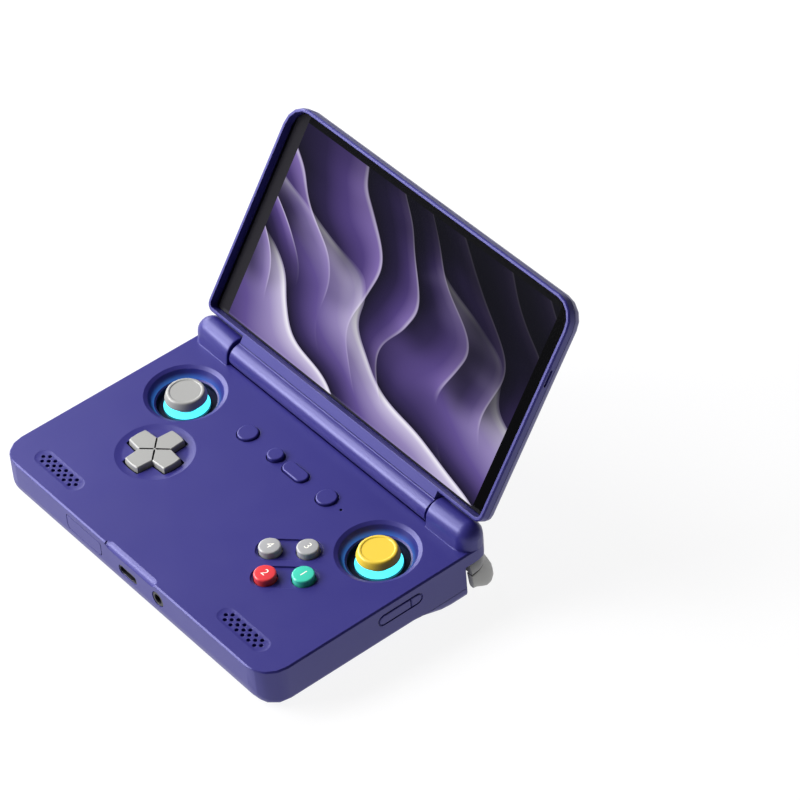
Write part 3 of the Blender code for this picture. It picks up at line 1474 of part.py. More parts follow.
# Ports and card slot
def make_front_ports(root):
    front = -BODY_FRONT + SEAM
    port = prism(
        "usb_c_port", stadium(-PORT_X, -PORT_Z, PORT_WIDTH, PORT_HEIGHT), front, front + PORT_LENGTH, "Y"
    )
    skin = 2 * PORT_SKIN
    mouth = stadium(-PORT_X, -PORT_Z, PORT_WIDTH - skin, PORT_HEIGHT - skin)
    cut(port, prism("mouth", mouth, front - OVERRUN, front + PORT_LENGTH - skin, "Y"))
    tongue = box(
        "tongue",
        (-PORT_X - TONGUE_WIDTH / 2, -PORT_X + TONGUE_WIDTH / 2),
        (front + skin, front + PORT_LENGTH - PORT_SKIN),
        (-PORT_Z - TONGUE_THICK / 2, -PORT_Z + TONGUE_THICK / 2),
    )
    join(port, tongue)
    finish(port, root, STEEL, 0.3, 1.0)
    jack = prism(
        "headphone_jack",
        circle(JACK_X, -JACK_Z, JACK_RADIUS, ROUND_SIDES),
        front,
        front + JACK_LENGTH,
        "Y",
    )
    bore = circle(JACK_X, -JACK_Z, JACK_BORE, ROUND_SIDES)
    cut(jack, prism("bore", bore, front - OVERRUN, front + JACK_LENGTH - OVERRUN, "Y"))
    finish(jack, root, BLACK, 0.4)
    middle = -(DOOR_LEFT + DOOR_RIGHT) / 2
    half = (DOOR_LEFT - DOOR_RIGHT) / 2 - OVERRUN
    low = BOARD_TOP + SEAM
    start = -BODY_FRONT + WALL + GAP
    reader = box(
        "card_reader",
        (middle - half, middle + half),
        (start, start + READER_DEPTH),
        (low, low + READER_THICK),
    )
    slot = READER_THICK / 2
    cut(
        reader,
        box(
            "slot",
            (middle - half + OVERRUN, middle + half - OVERRUN),
            (start - OVERRUN, start + READER_DEPTH - OVERRUN),
            (low + slot - READER_SLOT / 2, low + slot + READER_SLOT / 2),
        ),
    )
    finish(reader, root, STEEL, 0.35, 1.0)
    door = prism("card_door", card_door_outline(-SEAM), -BODY_FRONT, -BODY_FRONT + DOOR_THICK, "Y")
    finish(
        door, root, BODY_BLUE, 0.45, 0.0, (-DOOR_RIGHT - SEAM, -BODY_FRONT, -(DOOR_TOP + DOOR_BOTTOM) / 2)
    )


# Shoulder buttons and triggers
def shoulder_path():
    """Stations along the rear corner: place, outward direction and how far along, all in plan."""
    line = REAR - KNUCKLE_INSET
    side = HALF - KNUCKLE_INSET
    corner = (side - SHOULDER_CORNER, line - SHOULDER_CORNER)
    stations = []
    straight = corner[0] - SHOULDER_END
    for step in range(PATH_STEPS):
        stations.append((SHOULDER_END + straight * step / PATH_STEPS, line, pi / 2))
    for step in range(PATH_STEPS + 1):
        angle = pi / 2 * (1 - step / PATH_STEPS)
        stations.append(
            (corner[0] + SHOULDER_CORNER * cos(angle), corner[1] + SHOULDER_CORNER * sin(angle), angle)
        )
    if corner[1] - SHOULDER_SIDE > BITE:
        stations.append((side, SHOULDER_SIDE, 0))
    lengths = [0.0]
    for here, there in zip(stations, stations[1:]):
        lengths.append(lengths[-1] + sqrt((there[0] - here[0]) ** 2 + (there[1] - here[1]) ** 2))
    return [(x, y, angle, length / lengths[-1]) for (x, y, angle), length in zip(stations, lengths)]


def end_taper(share):
    """How thick a section is near the inner end of the path, which is rounded off."""
    near = min(share / BLUNT_LENGTH_SHARE, 1)
    return BLUNT_END_SHARE + (1 - BLUNT_END_SHARE) * sqrt(max(1 - (1 - near) ** 2, 0))


def bumper_ring(x, y, angle, share):
    top = -SHOULDER_CEILING - GAP
    low = top - BUMPER_HEIGHT
    skin = BUMPER_SKIN * end_taper(share)
    flare = BUMPER_FLARE * ease(share / BUMPER_FLARE_SHARE)
    soft = EDGE_CHAMFER
    outline = [
        (-skin, top),
        (-soft, top),
        (0, top - soft),
        (flare * BUMPER_BELLY_SHARE, (top + low) / 2),
        (flare, low + soft),
        (flare - soft / 2, low),
        (-skin, low),
    ]
    return [Vector((x + a * cos(angle), y + a * sin(angle), z)) for a, z in outline]


def trigger_ring(x, y, angle, share):
    """A section of the trigger: a blade that swells outward and hangs lowest round the corner."""
    relief = TRIGGER_RELIEF * max((share - RELIEF_START_SHARE) / (1 - RELIEF_START_SHARE), 0)
    top = -SHOULDER_CEILING - GAP - BUMPER_HEIGHT - GAP - relief
    grown = BLADE_INNER_SHARE + (1 - BLADE_INNER_SHARE) * ease(share / BLADE_GROWN_SHARE)
    cut_back = 1 - BLADE_CUT_SHARE * ease((share - BLADE_FALL_SHARE) / (1 - BLADE_FALL_SHARE))
    depth = (TRIGGER_DROP + top) * grown * cut_back
    skin = TRIGGER_SKIN * end_taper(share)
    swell = ease(share / BELLY_GROWN_SHARE)
    fade = 1 - BELLY_CUT_SHARE * ease((share - BELLY_FALL_SHARE) / (1 - BELLY_FALL_SHARE))
    flare = TRIGGER_FLARE * swell * fade
    base = BUMPER_FLARE * ease(share / BUMPER_FLARE_SHARE)
    outline = [(base - skin, top), (base - EDGE_CHAMFER / 2, top), (base, top - EDGE_CHAMFER)]
    for down, inward in BLADE_SHARES:
        outline.append((base + flare * sin(pi / 2 * down) - skin * inward, top - depth * down))
    return [Vector((x + a * cos(angle), y + a * sin(angle), z)) for a, z in outline]


def build_bumper(name):
    piece = loft(name, [bumper_ring(*station) for station in shoulder_path()], True)
    top = -SHOULDER_CEILING - GAP
    low = top - BUMPER_HEIGHT
    eye = prism(
        "eye", circle(BUMPER_PIN_X, BUMPER_PIN_Y, BUMPER_EYE, SMALL_SIDES), low, top - EDGE_CHAMFER
    )
    web = box(
        "web",
        (BUMPER_PIN_X - BUMPER_PIN, BUMPER_PIN_X + BUMPER_EYE),
        (BUMPER_PIN_Y + (BUMPER_PIN + GAP + BUMPER_EYE) / 2, REAR - BUMPER_SKIN / 2),
        (low + EDGE_CHAMFER, top - 2 * EDGE_CHAMFER),
    )
    join(piece, eye, web)
    bore = circle(BUMPER_PIN_X, BUMPER_PIN_Y, BUMPER_PIN + GAP, SMALL_SIDES)
    return cut(piece, prism("bore", bore, low - OVERRUN, top + OVERRUN))


def build_trigger(name):
    piece = loft(name, [trigger_ring(*station) for station in shoulder_path()], True)
    middle = (BRACKET_START + BRACKET_END) / 2
    reach = (BRACKET_END - BRACKET_START) / 4
    hub = axle("hub", TRIGGER_HUB, middle - reach, middle + reach, TRIGGER_PIN_Y, -TRIGGER_PIN_Z)
    web = box(
        "web",
        (middle - reach + EDGE_CHAMFER, middle + reach - EDGE_CHAMFER),
        (TRIGGER_PIN_Y + (TRIGGER_PIN + GAP + TRIGGER_HUB) / 2, REAR - TRIGGER_SKIN / 2),
        (-TRIGGER_PIN_Z - TRIGGER_PIN, -TRIGGER_PIN_Z + TRIGGER_PIN),
    )
    join(piece, hub, web)
    bore = axle(
        "bore",
        TRIGGER_PIN + GAP,
        middle - reach - OVERRUN,
        middle + reach + OVERRUN,
        TRIGGER_PIN_Y,
        -TRIGGER_PIN_Z,
    )
    return cut(piece, bore)


def build_bracket(name):
    """The fixed bracket: a plate, two arms with the trigger's pin, and a shelf with the bumper's pin."""
    front = -SHOULDER_FRONT + GAP
    top = -SHOULDER_CEILING - GAP
    bracket = box(
        name, (BRACKET_START, BRACKET_END), (front, front + BRACKET_THICK), (top - BRACKET_HEIGHT, top)
    )
    centre = -TRIGGER_PIN_Z
    middle = (BRACKET_START + BRACKET_END) / 2
    reach = (BRACKET_END - BRACKET_START) / 4
    arms = []
    for sign in (-1, 1):
        near = middle + sign * (reach + GAP)
        ends = sorted((near, near + sign * ARM_THICK))
        arms.append(
            box(
                "arm",
                ends,
                (front + BRACKET_THICK / 2, TRIGGER_PIN_Y + TRIGGER_PIN + EDGE_CHAMFER),
                (centre - ARM_HEIGHT / 2, centre + ARM_HEIGHT / 2),
            )
        )
    far = reach + GAP + ARM_THICK - BITE
    pin = axle("pin", TRIGGER_PIN, middle - far, middle + far, TRIGGER_PIN_Y, centre)
    shelf_top = top - BUMPER_HEIGHT - GAP
    shelf = box(
        "shelf",
        (BRACKET_START, BUMPER_PIN_X + BUMPER_EYE),
        (front + BRACKET_THICK / 2, BUMPER_PIN_Y + BUMPER_PIN + EDGE_CHAMFER),
        (shelf_top - BRACKET_THICK, shelf_top),
    )
    post = prism(
        "post",
        circle(BUMPER_PIN_X, BUMPER_PIN_Y, BUMPER_PIN, SMALL_SIDES),
        shelf_top - BITE,
        top - 2 * EDGE_CHAMFER,
    )
    return join(bracket, *arms, pin, shelf, post)


def make_shoulders(root):
    for piece in sides_of("shoulder_bracket", build_bracket):
        finish(piece, root, BLACK, 0.5)
    for piece, sign in zip(sides_of("bumper", build_bumper), (-1, 1)):
        finish(
            piece, root, TRIGGER_GREY, 0.4, 0.0, (sign * BUMPER_PIN_X, BUMPER_PIN_Y, -SHOULDER_CEILING)
        )
    middle = (BRACKET_START + BRACKET_END) / 2
    for piece, sign in zip(sides_of("trigger", build_trigger), (-1, 1)):
        finish(piece, root, TRIGGER_GREY, 0.4, 0.0, (sign * middle, TRIGGER_PIN_Y, -TRIGGER_PIN_Z))


# Inner parts
def make_mainboard(root):
    half, tongue, rear = BOARD_HALF, BOARD_TONGUE_HALF, BOARD_REAR_HALF
    right = [
        (tongue, -BOARD_TONGUE),
        (tongue, -BOARD_FRONT),
        (half, -BOARD_FRONT),
        (half, -BOARD_BACK),
        (rear, -BOARD_BACK),
        (rear, BOARD_REAR),
    ]
    outline = right + [(-x, y) for x, y in reversed(right)]
    board = prism("mainboard", outline, BOARD_UNDER, BOARD_TOP)
    cuts = [
        prism(
            "well",
            circle(s * STICK_X, -STICK_Y, WELL_FLOOR_RADIUS + WELL_SKIN + 2 * GAP, ROUND_SIDES),
            -BODY_HEIGHT,
            0,
        )
        for s in (-1, 1)
    ]
    cuts += [
        prism("boss", circle(x, y, BOSS_RADIUS + GAP, SMALL_SIDES), -BODY_HEIGHT, 0)
        for _, x, y in screw_places()
    ]
    cuts.append(
        box(
            "jack",
            (JACK_X - JACK_RADIUS - GAP, JACK_X + JACK_RADIUS + GAP),
            (-BODY_FRONT, -BODY_FRONT + SEAM + JACK_LENGTH + GAP),
            (-BODY_HEIGHT, 0),
        )
    )
    cut(board, *cuts)
    finish(board, root, BOARD_GREEN, 0.5)


def make_battery(root):
    radii = (BATTERY_CORNER,) * 4
    outline = rounded((-BATTERY_HALF, BATTERY_HALF), (-BATTERY_FRONT, -BATTERY_REAR), radii)
    pack = prism("battery_pack", outline, FLOOR_TOP + GAP, BOARD_UNDER - GAP)
    finish(pack, root, CELL_GREY, 0.5)


def make_fan(root):
    low, high = FLOOR_TOP + GAP, BOARD_UNDER - GAP
    y = -FAN_Y
    housing = prism("fan_housing", circle(0, y, FAN_RADIUS, ROUND_SIDES), low, high)
    cut(
        housing,
        prism("room", circle(0, y, FAN_RADIUS - FAN_WALL, ROUND_SIDES), low + FAN_WALL, high + OVERRUN),
    )
    outlet = FAN_RADIUS * OUTLET_SHARE
    cut(
        housing,
        box("outlet", (-outlet, outlet), (y + FAN_RADIUS / 2, REAR), (low + FAN_WALL, high + OVERRUN)),
    )
    ring = [
        (FAN_INTAKE, low - OVERRUN), (FAN_INTAKE, high), (2 * FAN_PIN, high), (2 * FAN_PIN, low - OVERRUN)
    ]
    spoke = FAN_WALL
    intake = turned("intake", ring, ROUND_SIDES, (0, y, 0))
    spokes = [
        box("spoke", (-FAN_INTAKE, FAN_INTAKE), (y - spoke, y + spoke), (low - 2 * OVERRUN, high)),
        box("spoke", (-spoke, spoke), (y - FAN_INTAKE, y + FAN_INTAKE), (low - 2 * OVERRUN, high)),
    ]
    for bar in spokes:
        cut(intake, bar)
    cut(housing, intake)
    pin = prism("pin", circle(0, y, FAN_PIN, SMALL_SIDES), low + FAN_WALL / 2, high - FAN_WALL)
    join(housing, pin)
    finish(housing, root, BLACK, 0.5)
    outline = []
    step_angle = 2 * pi / FAN_BLADES
    root_turn = asin(FAN_BLADE / 2 / FAN_HUB_RADIUS)
    tip_turn = asin(FAN_BLADE / 2 / FAN_BLADE_RADIUS)
    lean = step_angle * BLADE_LEAN_SHARE
    for blade in range(FAN_BLADES):
        turn = blade * step_angle
        for radius, angle in (
            (FAN_HUB_RADIUS, turn - root_turn),
            (FAN_BLADE_RADIUS, turn + lean - tip_turn),
            (FAN_BLADE_RADIUS, turn + lean + tip_turn),
            (FAN_HUB_RADIUS, turn + root_turn),
        ):
            outline.append((radius * cos(angle), y + radius * sin(angle)))
    rotor = prism("fan_rotor", outline, low + FAN_WALL + GAP, high - FAN_WALL)
    bore = circle(0, y, FAN_PIN + GAP, SMALL_SIDES)
    cut(rotor, prism("bore", bore, low, high))
    finish(rotor, root, BLACK, 0.4, 0.0, (0, y, 0))


def make_heatsink(root):
    start = -FAN_Y + FAN_RADIUS + GAP
    half = HEATSINK_WIDTH / 2
    high = BOARD_UNDER - SEAM
    sink = box("heatsink", (-half, half), (start, start + HEATSINK_LENGTH), (high - HEATSINK_DROP, high))
    pitch = (HEATSINK_WIDTH - FIN_THICK) / (FINS - 1)
    gaps = []
    for index in range(FINS - 1):
        x = -half + FIN_THICK + index * pitch
        gaps.append(
            box(
                "gap",
                (x, x + pitch - FIN_THICK),
                (start - OVERRUN, start + HEATSINK_LENGTH + OVERRUN),
                (high - HEATSINK_DROP - OVERRUN, high - FIN_BASE),
            )
        )
    cut(sink, *gaps)
    finish(sink, root, STEEL, 0.4, 1.0)


def make_speakers(root):
    for side, sign in (("left", -1), ("right", 1)):
        x, y = sign * GRILLE_X, -GRILLE_Y
        top = CEILING - GAP
        speaker = prism(
            side + "_speaker", stadium(x, y, SPEAKER_LENGTH, SPEAKER_WIDTH), top - SPEAKER_THICK, top
        )
        lip = 2 * SPEAKER_LIP
        inside = stadium(x, y, SPEAKER_LENGTH - lip, SPEAKER_WIDTH - lip)
        cut(speaker, prism("cone", inside, top - SPEAKER_LIP / 2, top + OVERRUN))
        finish(speaker, root, BLACK, 0.5)


def make_screws(root):
    for name, x, y in screw_places():
        low = -BODY_HEIGHT + SCREW_SINK
        head = low + SCREW_HEAD_THICK - BITE - GAP
        screw = prism(name, circle(x, y, SCREW_HEAD, SMALL_SIDES), low - BITE, head)
        shank = prism("shank", circle(x, y, SCREW_RADIUS, SMALL_SIDES), low, low + SCREW_LENGTH)
        join(screw, shank)
        drive = [
            prism("drive", stadium(x, y, 2 * SCREW_RADIUS, SCREW_RADIUS / 2, turn, 1), low - OVERRUN, low)
            for turn in (0, pi / 2)
        ]
        cut(screw, *drive)
        finish(screw, root, STEEL, 0.35, 1.0)


def table_height(y):
    """Height of the table under the tilted console, in the console's own frame."""
    return -BODY_HEIGHT - FOOT_PROUD - tan(TILT) * (y + FOOT_FRONT_Y)


def make_feet(root):
    for name, x, y, low in foot_places():
        outline = stadium(x, y, FOOT_LENGTH, FOOT_WIDTH)
        rings = [
            [Vector((a, b, low + FOOT_SINK - GAP)) for a, b in outline],
            [Vector((a, b, table_height(b))) for a, b in outline],
        ]
        finish(loft(name, rings), root, RUBBER, 0.8)


def settle(root):
    """Leans the console onto its feet and puts the origin under the middle of its bounding box."""
    root.rotation_euler = (TILT, 0, 0)
    bpy.context.view_layer.update()
    pieces = [piece for piece in bpy.data.objects if piece.type == "MESH"]
    corners = [piece.matrix_world @ vertex.co for piece in pieces for vertex in piece.data.vertices]
    low = [min(corner[axis] for corner in corners) for axis in range(3)]
    high = [max(corner[axis] for corner in corners) for axis in range(3)]
    root.location = (-(low[0] + high[0]) / 2, -(low[1] + high[1]) / 2, -low[2])
    bpy.context.view_layer.update()


def main():
    for old in list(bpy.data.objects):
        bpy.data.objects.remove(old)
    root = bpy.data.objects.new("console_frame", None)
    bpy.context.collection.objects.link(root)
    lid = bpy.data.objects.new("lid_axis", None)
    bpy.context.collection.objects.link(lid)
    lid.parent = root
    lid.location = (0, AXIS_BACK, AXIS_HEIGHT)
    lid.rotation_euler = (pi - OPEN_ANGLE, 0, 0)
    make_top_shell(root)
    make_bottom_shell(root)
    make_lid_cover(lid)
    make_lid_bezel(lid)
    make_screen(lid)
    make_hinge_shafts(root)
    make_sticks(root)
    make_direction_pad(root)
    make_buttons(root)
    make_key_pads(root)
    make_side_keys(root)
    make_front_ports(root)
    make_shoulders(root)
    make_mainboard(root)
    make_battery(root)
    make_fan(root)
    make_heatsink(root)
    make_speakers(root)
    make_screws(root)
    make_feet(root)
    settle(root)


main()
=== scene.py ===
"""Looks of a clamshell handheld game console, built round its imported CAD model.

Sizes are in millimetres in the console's own frame: +X to the player's right, +Y to the back and
z = 0 on the control panel. TO_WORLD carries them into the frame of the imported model.
"""

import json
from math import asin, atan2, cos, pi, radians, sin, sqrt

import bmesh
import bpy
from mathutils import Matrix, Vector

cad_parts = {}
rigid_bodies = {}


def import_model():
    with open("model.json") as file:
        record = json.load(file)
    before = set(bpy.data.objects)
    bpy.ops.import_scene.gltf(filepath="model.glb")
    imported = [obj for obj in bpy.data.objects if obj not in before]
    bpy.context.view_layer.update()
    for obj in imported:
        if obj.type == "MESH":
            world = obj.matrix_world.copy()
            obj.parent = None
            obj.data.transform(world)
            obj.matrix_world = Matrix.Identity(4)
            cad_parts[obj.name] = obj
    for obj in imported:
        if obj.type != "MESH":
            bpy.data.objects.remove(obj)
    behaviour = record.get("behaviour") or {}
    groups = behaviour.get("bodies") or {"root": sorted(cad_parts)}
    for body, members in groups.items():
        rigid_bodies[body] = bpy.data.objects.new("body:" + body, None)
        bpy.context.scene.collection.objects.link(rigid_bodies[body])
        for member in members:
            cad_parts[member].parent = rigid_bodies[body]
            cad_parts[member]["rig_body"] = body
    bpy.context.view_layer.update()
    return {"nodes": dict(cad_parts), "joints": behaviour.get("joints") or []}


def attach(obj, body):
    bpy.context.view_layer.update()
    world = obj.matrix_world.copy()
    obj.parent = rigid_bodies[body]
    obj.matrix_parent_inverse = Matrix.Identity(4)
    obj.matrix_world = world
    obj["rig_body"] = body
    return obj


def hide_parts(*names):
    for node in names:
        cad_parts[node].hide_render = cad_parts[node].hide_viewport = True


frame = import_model()

MM = 0.001
HUMP_DROP, FEET_APART = 3.1, 61.4
HINGE_AXIS = Vector((0, 4.1, 2.65))
LID_ANGLE = radians(55.68)

HINGE = {joint["name"]: joint for joint in frame["joints"]}["lid_hinge"]["pos_m"]
LEAN = Matrix.Rotation(atan2(HUMP_DROP, FEET_APART), 4, "X")
TO_WORLD = (
    Matrix.Translation(Vector(HINGE) - LEAN @ (HINGE_AXIS * MM)) @ LEAN @ Matrix.Scale(MM, 4)
)
TO_CONSOLE = TO_WORLD.inverted()
LID_TO_WORLD = TO_WORLD @ Matrix.Translation(HINGE_AXIS) @ Matrix.Rotation(LID_ANGLE, 4, "X")

# Places and sizes on the control panel
STICK_X, STICK_Y = 48.64, -18.15
PAD_X, PAD_Y, PAD_TOP = -33.37, -41.61, 1.3
FACE_X, FACE_Y, FACE_SPREAD = 33.89, -41.81, 8.29
FACE_SPOTS = ((0, FACE_SPREAD), (-FACE_SPREAD, 0), (FACE_SPREAD, 0), (0, -FACE_SPREAD))
FACE_RADIUS, FACE_TOP, FACE_EDGE, FACE_DOME = 3.55, 1.76, 0.55, 0.09
RECESS_WIDTH, RECESS_DEPTH = 9.24, 0.5
NUMERAL_SIZE, NUMERAL_HEIGHT, NUMERAL_THICK = 3.7, 1.84, 0.02
MENU_Y, OPTION_X, HOME_X, OVAL_X, MIC_X = -15.2, 19.9, -5.75, 4.35, 26.9
OPTION_RADIUS, HOME_RADIUS, MIC_RADIUS = 3.45, 2.75, 0.47
OVAL_LENGTH, OVAL_WIDTH = 10.4, 4.9
OPTION_TOP, HOME_TOP, OVAL_TOP, MENU_EDGE = 0.8, 1.3, 0.8, 0.5
BUTTON_GAP, PAD_GAP = 0.32, 0.72
FLANGE_TOP, FLANGE_THICK, FLANGE_OUT = -2.3, 0.8, 0.9
GRILLE_X, GRILLE_Y = 47.16, -68.58
SINK_LENGTH, SINK_WIDTH = 22.6, 6.2
HOLE_PITCH, HOLE_ROW, HOLE_RADIUS = 2.891, 1.5, 0.67
PORT_X, PORT_Z, PORT_WIDTH, PORT_HEIGHT = -0.6, -6.0, 9.28, 3.6
JACK_X, JACK_Z, JACK_RADIUS = 14.85, -5.2, 2.77
FRONT_CUT = (-78.5, -74.0)
FRONT_Y = min((TO_CONSOLE @ vert.co).y for vert in frame["nodes"]["top_shell"].data.vertices)

# Profiles of (radius, height) from the panel down
WELL_DEPTH, DISH_DEPTH = -5.2, -0.44
WELL = [
    (13.56, 0.0), (13.47, -0.03), (12.26, -0.60), (12.14, -0.74), (10.50, -3.30), (10.40, -3.40),
    (9.88, -3.60), (9.80, -3.68), (9.80, WELL_DEPTH),
]
DISH = [(12.95, 0.0), (12.80, -0.03), (11.9, -0.20), (10.9, -0.38), (10.2, DISH_DEPTH)]

# Cutters start above the panel and end in the hollow under it
ABOVE, THROUGH = 1.0, -4.0

# The lit picture on the screen, in the lid's own frame
PICTURE_HALF_WIDTH, PICTURE_HALF_HEIGHT, PICTURE_MIDDLE = 60.9, 34.25, 42.65
BARS_HALF_WIDTH = 66.0

# Meshes: angles in degrees from which an edge stays sharp, and how finely rounds are divided
SHARP_EDGE, CRISP_EDGE, PAD_EDGE, COPY_EDGE, SOFT_EDGE = 30, 12, 28, 34, 40
WELD, FLAT_ANGLE = 0.002, 0.3
LATHE_SIDES, ROLL_STEPS = 96, 6
AXIS_RADIUS = 1e-4
PANEL_SKIN = -0.02

# Shading
NOISE_LOW, NOISE_HIGH = 0.3, 0.7
SPARK_SCALE = 5200.0
COLOUR_DRIFT, GLOSS_DRIFT, SPARK_GLOSS = 0.06, 0.015, 0.02
# Painted glow on the well walls: full at the foot height, gone at the end height, and its strength
PAINTED_GLOW_FOOT, PAINTED_GLOW_END, PAINTED_GLOW_STRENGTH = -3.5, -1.5, 0.62
WHITE = (1.0, 1.0, 1.0)
VIOLET_GLOSS = (0.62, 0.62, 1.0)


# Materials
class Paint:
    """A node material with short helpers; value inputs take a number or another node's output."""

    SOCKETS = {
        "colour": "Base Color",
        "glow": "Emission Color",
        "glow_strength": "Emission Strength",
        "specular": "Specular IOR Level",
        "tint": "Specular Tint",
    }

    def __init__(self, name):
        self.material = bpy.data.materials.new(name)
        self.material.use_nodes = True
        self.tree = self.material.node_tree
        self.shader = self.tree.nodes["Principled BSDF"]
        self.place = self.tree.nodes.new("ShaderNodeTexCoord").outputs["Object"]

    def put(self, socket, value):
        if hasattr(value, "links"):
            self.tree.links.new(value, socket)
        elif value is not None:
            socket.default_value = value

    def math(self, operation, a, b=None):
        node = self.tree.nodes.new("ShaderNodeMath")
        node.operation = operation
        self.put(node.inputs[0], a)
        self.put(node.inputs[1], b)
        return node.outputs[0]

    def vector(self, operation, a, b, result="Vector"):
        node = self.tree.nodes.new("ShaderNodeVectorMath")
        node.operation = operation
        self.put(node.inputs[0], a)
        self.put(node.inputs[1], b)
        return node.outputs[result]

    def along(self, to_own, axis):
        """One coordinate of the shaded point in the frame that to_own leads to."""
        row = to_own[axis]
        return self.math(
            "ADD", self.vector("DOT_PRODUCT", self.place, tuple(row[:3]), "Value"), row[3]
        )

    def noise(self, scale, detail=2.0, roughness=0.5, place=None, distortion=0.0):
        node = self.tree.nodes.new("ShaderNodeTexNoise")
        self.put(node.inputs["Vector"], place or self.place)
        node.inputs["Scale"].default_value = scale
        node.inputs["Detail"].default_value = detail
        node.inputs["Roughness"].default_value = roughness
        node.inputs["Distortion"].default_value = distortion
        return node.outputs["Fac"]

    def span(self, value, low, high, to_low=0.0, to_high=1.0, smooth=False):
        node = self.tree.nodes.new("ShaderNodeMapRange")
        node.interpolation_type = "SMOOTHSTEP" if smooth else "LINEAR"
        for index, item in enumerate((value, low, high, to_low, to_high)):
            self.put(node.inputs[index], item)
        return node.outputs[0]

    def vary(self, noise, to_low=0.0, to_high=1.0):
        """Spreads the usual range of a noise texture over a range of values."""
        return self.span(noise, NOISE_LOW, NOISE_HIGH, to_low, to_high)

    def ramp(self, value, stops):
        node = self.tree.nodes.new("ShaderNodeValToRGB")
        self.put(node.inputs[0], value)
        band = node.color_ramp
        while len(band.elements) < len(stops):
            band.elements.new(0.5)
        for element, (position, colour) in zip(band.elements, stops):
            element.position = position
            element.color = (*colour, 1)
        return node.outputs["Color"]

    def mix(self, share, a, b, blend="MIX"):
        node = self.tree.nodes.new("ShaderNodeMix")
        node.data_type = "RGBA"
        node.blend_type = blend
        self.put(node.inputs[0], share)
        self.put(node.inputs[6], (*a, 1) if isinstance(a, tuple) else a)
        self.put(node.inputs[7], (*b, 1) if isinstance(b, tuple) else b)
        return node.outputs[2]

    def bump(self, height, strength, distance, normal=None):
        node = self.tree.nodes.new("ShaderNodeBump")
        node.inputs["Strength"].default_value = strength
        node.inputs["Distance"].default_value = distance * MM
        self.put(node.inputs["Height"], height)
        self.put(node.inputs["Normal"], normal)
        return node.outputs["Normal"]

    def soft_edges(self, radius):
        node = self.tree.nodes.new("ShaderNodeBevel")
        node.samples = 4
        node.inputs["Radius"].default_value = radius * MM
        return node.outputs["Normal"]

    def set(self, **values):
        for name, value in values.items():
            socket = self.shader.inputs[self.SOCKETS.get(name, name.title())]
            if isinstance(value, tuple) and len(value) == 3 and socket.type == "RGBA":
                value = (*value, 1)
            self.put(socket, value)


def scaled(colour, share):
    return tuple(min(channel * share, 1) for channel in colour)


def plastic(name, colour, roughness, grain, edge, specular=0.5, tint=WHITE):
    """Moulded plastic: fine spark texture, uneven gloss, slight colour drift and softened edges."""
    paint = Paint(name)
    drift = paint.noise(18.0, 3.0)
    cloud = paint.noise(95.0, 2.0)
    spark = paint.noise(SPARK_SCALE, 2.0, 0.6)
    shade = paint.mix(
        paint.vary(drift), scaled(colour, 1 - COLOUR_DRIFT), scaled(colour, 1 + COLOUR_DRIFT)
    )
    speck = paint.mix(paint.span(spark, 0.35, 0.65), scaled(colour, 0.94), scaled(colour, 1.05))
    gloss = paint.math(
        "ADD",
        paint.vary(cloud, roughness - GLOSS_DRIFT, roughness + GLOSS_DRIFT),
        paint.vary(spark, -SPARK_GLOSS, SPARK_GLOSS),
    )
    normal = paint.soft_edges(edge) if edge else None
    paint.set(
        colour=paint.mix(0.4, shade, speck),
        roughness=gloss,
        specular=specular,
        tint=tint,
        normal=paint.bump(spark, grain, 0.03, normal),
    )
    return paint.material


def metal(name, colour, roughness):
    """Plated metal with fine drawn lines."""
    paint = Paint(name)
    stretched = paint.vector("MULTIPLY", paint.place, (1, 40, 40))
    drawn = paint.noise(260.0, 4.0, 0.6, stretched)
    paint.set(
        colour=paint.mix(paint.vary(drawn), scaled(colour, 0.86), scaled(colour, 1.08)),
        metallic=1.0,
        roughness=paint.vary(drawn, roughness - 0.06, roughness + 0.08),
        normal=paint.bump(drawn, 0.15, 0.02, paint.soft_edges(0.1)),
    )
    return paint.material


def rubber(name, colour, roughness):
    paint = Paint(name)
    pores = paint.noise(2600.0, 3.0, 0.7)
    paint.set(
        colour=paint.mix(paint.vary(pores), scaled(colour, 0.8), scaled(colour, 1.2)),
        roughness=paint.vary(pores, roughness - 0.08, roughness + 0.05),
        normal=paint.bump(pores, 0.4, 0.05, paint.soft_edges(0.2)),
    )
    return paint.material


def light_guide(name, colour, strength):
    """A clear diffuser lit from below, a little uneven round the ring."""
    paint = Paint(name)
    lamps = paint.noise(160.0, 2.0)
    facing = paint.tree.nodes.new("ShaderNodeNewGeometry").outputs["Normal"]
    upward = paint.vector("DOT_PRODUCT", facing, (0, 0, 1), "Value")
    lit = paint.math("MAXIMUM", paint.math("GREATER_THAN", upward, 0.6), 0.08)
    power = paint.vary(lamps, strength * 0.94, strength * 1.06)
    paint.set(
        colour=(0.05, 0.35, 0.40),
        roughness=0.3,
        glow=colour,
        glow_strength=paint.math("MULTIPLY", power, lit),
    )
    return paint.material


def wall_with_painted_glow(name):
    """The wall of a stick well: shell plastic painted darker than the body as painted shade, with a
    painted glow that rises towards its foot, where the ring below would light it.
    """
    paint = Paint(name)
    spark = paint.noise(SPARK_SCALE, 2.0, 0.6)
    height = paint.along(TO_CONSOLE, 2)
    # Share of the painted glow: 1 at the wall's foot, fading to 0 higher up
    near = paint.span(height, PAINTED_GLOW_FOOT, PAINTED_GLOW_END, 1.0, 0.0, True)
    paint.set(
        colour=(0.014, 0.014, 0.150),
        roughness=0.36,
        specular=0.5,
        tint=VIOLET_GLOSS,
        glow=(0.035, 0.16, 0.52),
        glow_strength=paint.math("MULTIPLY", near, PAINTED_GLOW_STRENGTH),
        normal=paint.bump(spark, 0.1, 0.03),
    )
    return paint.material


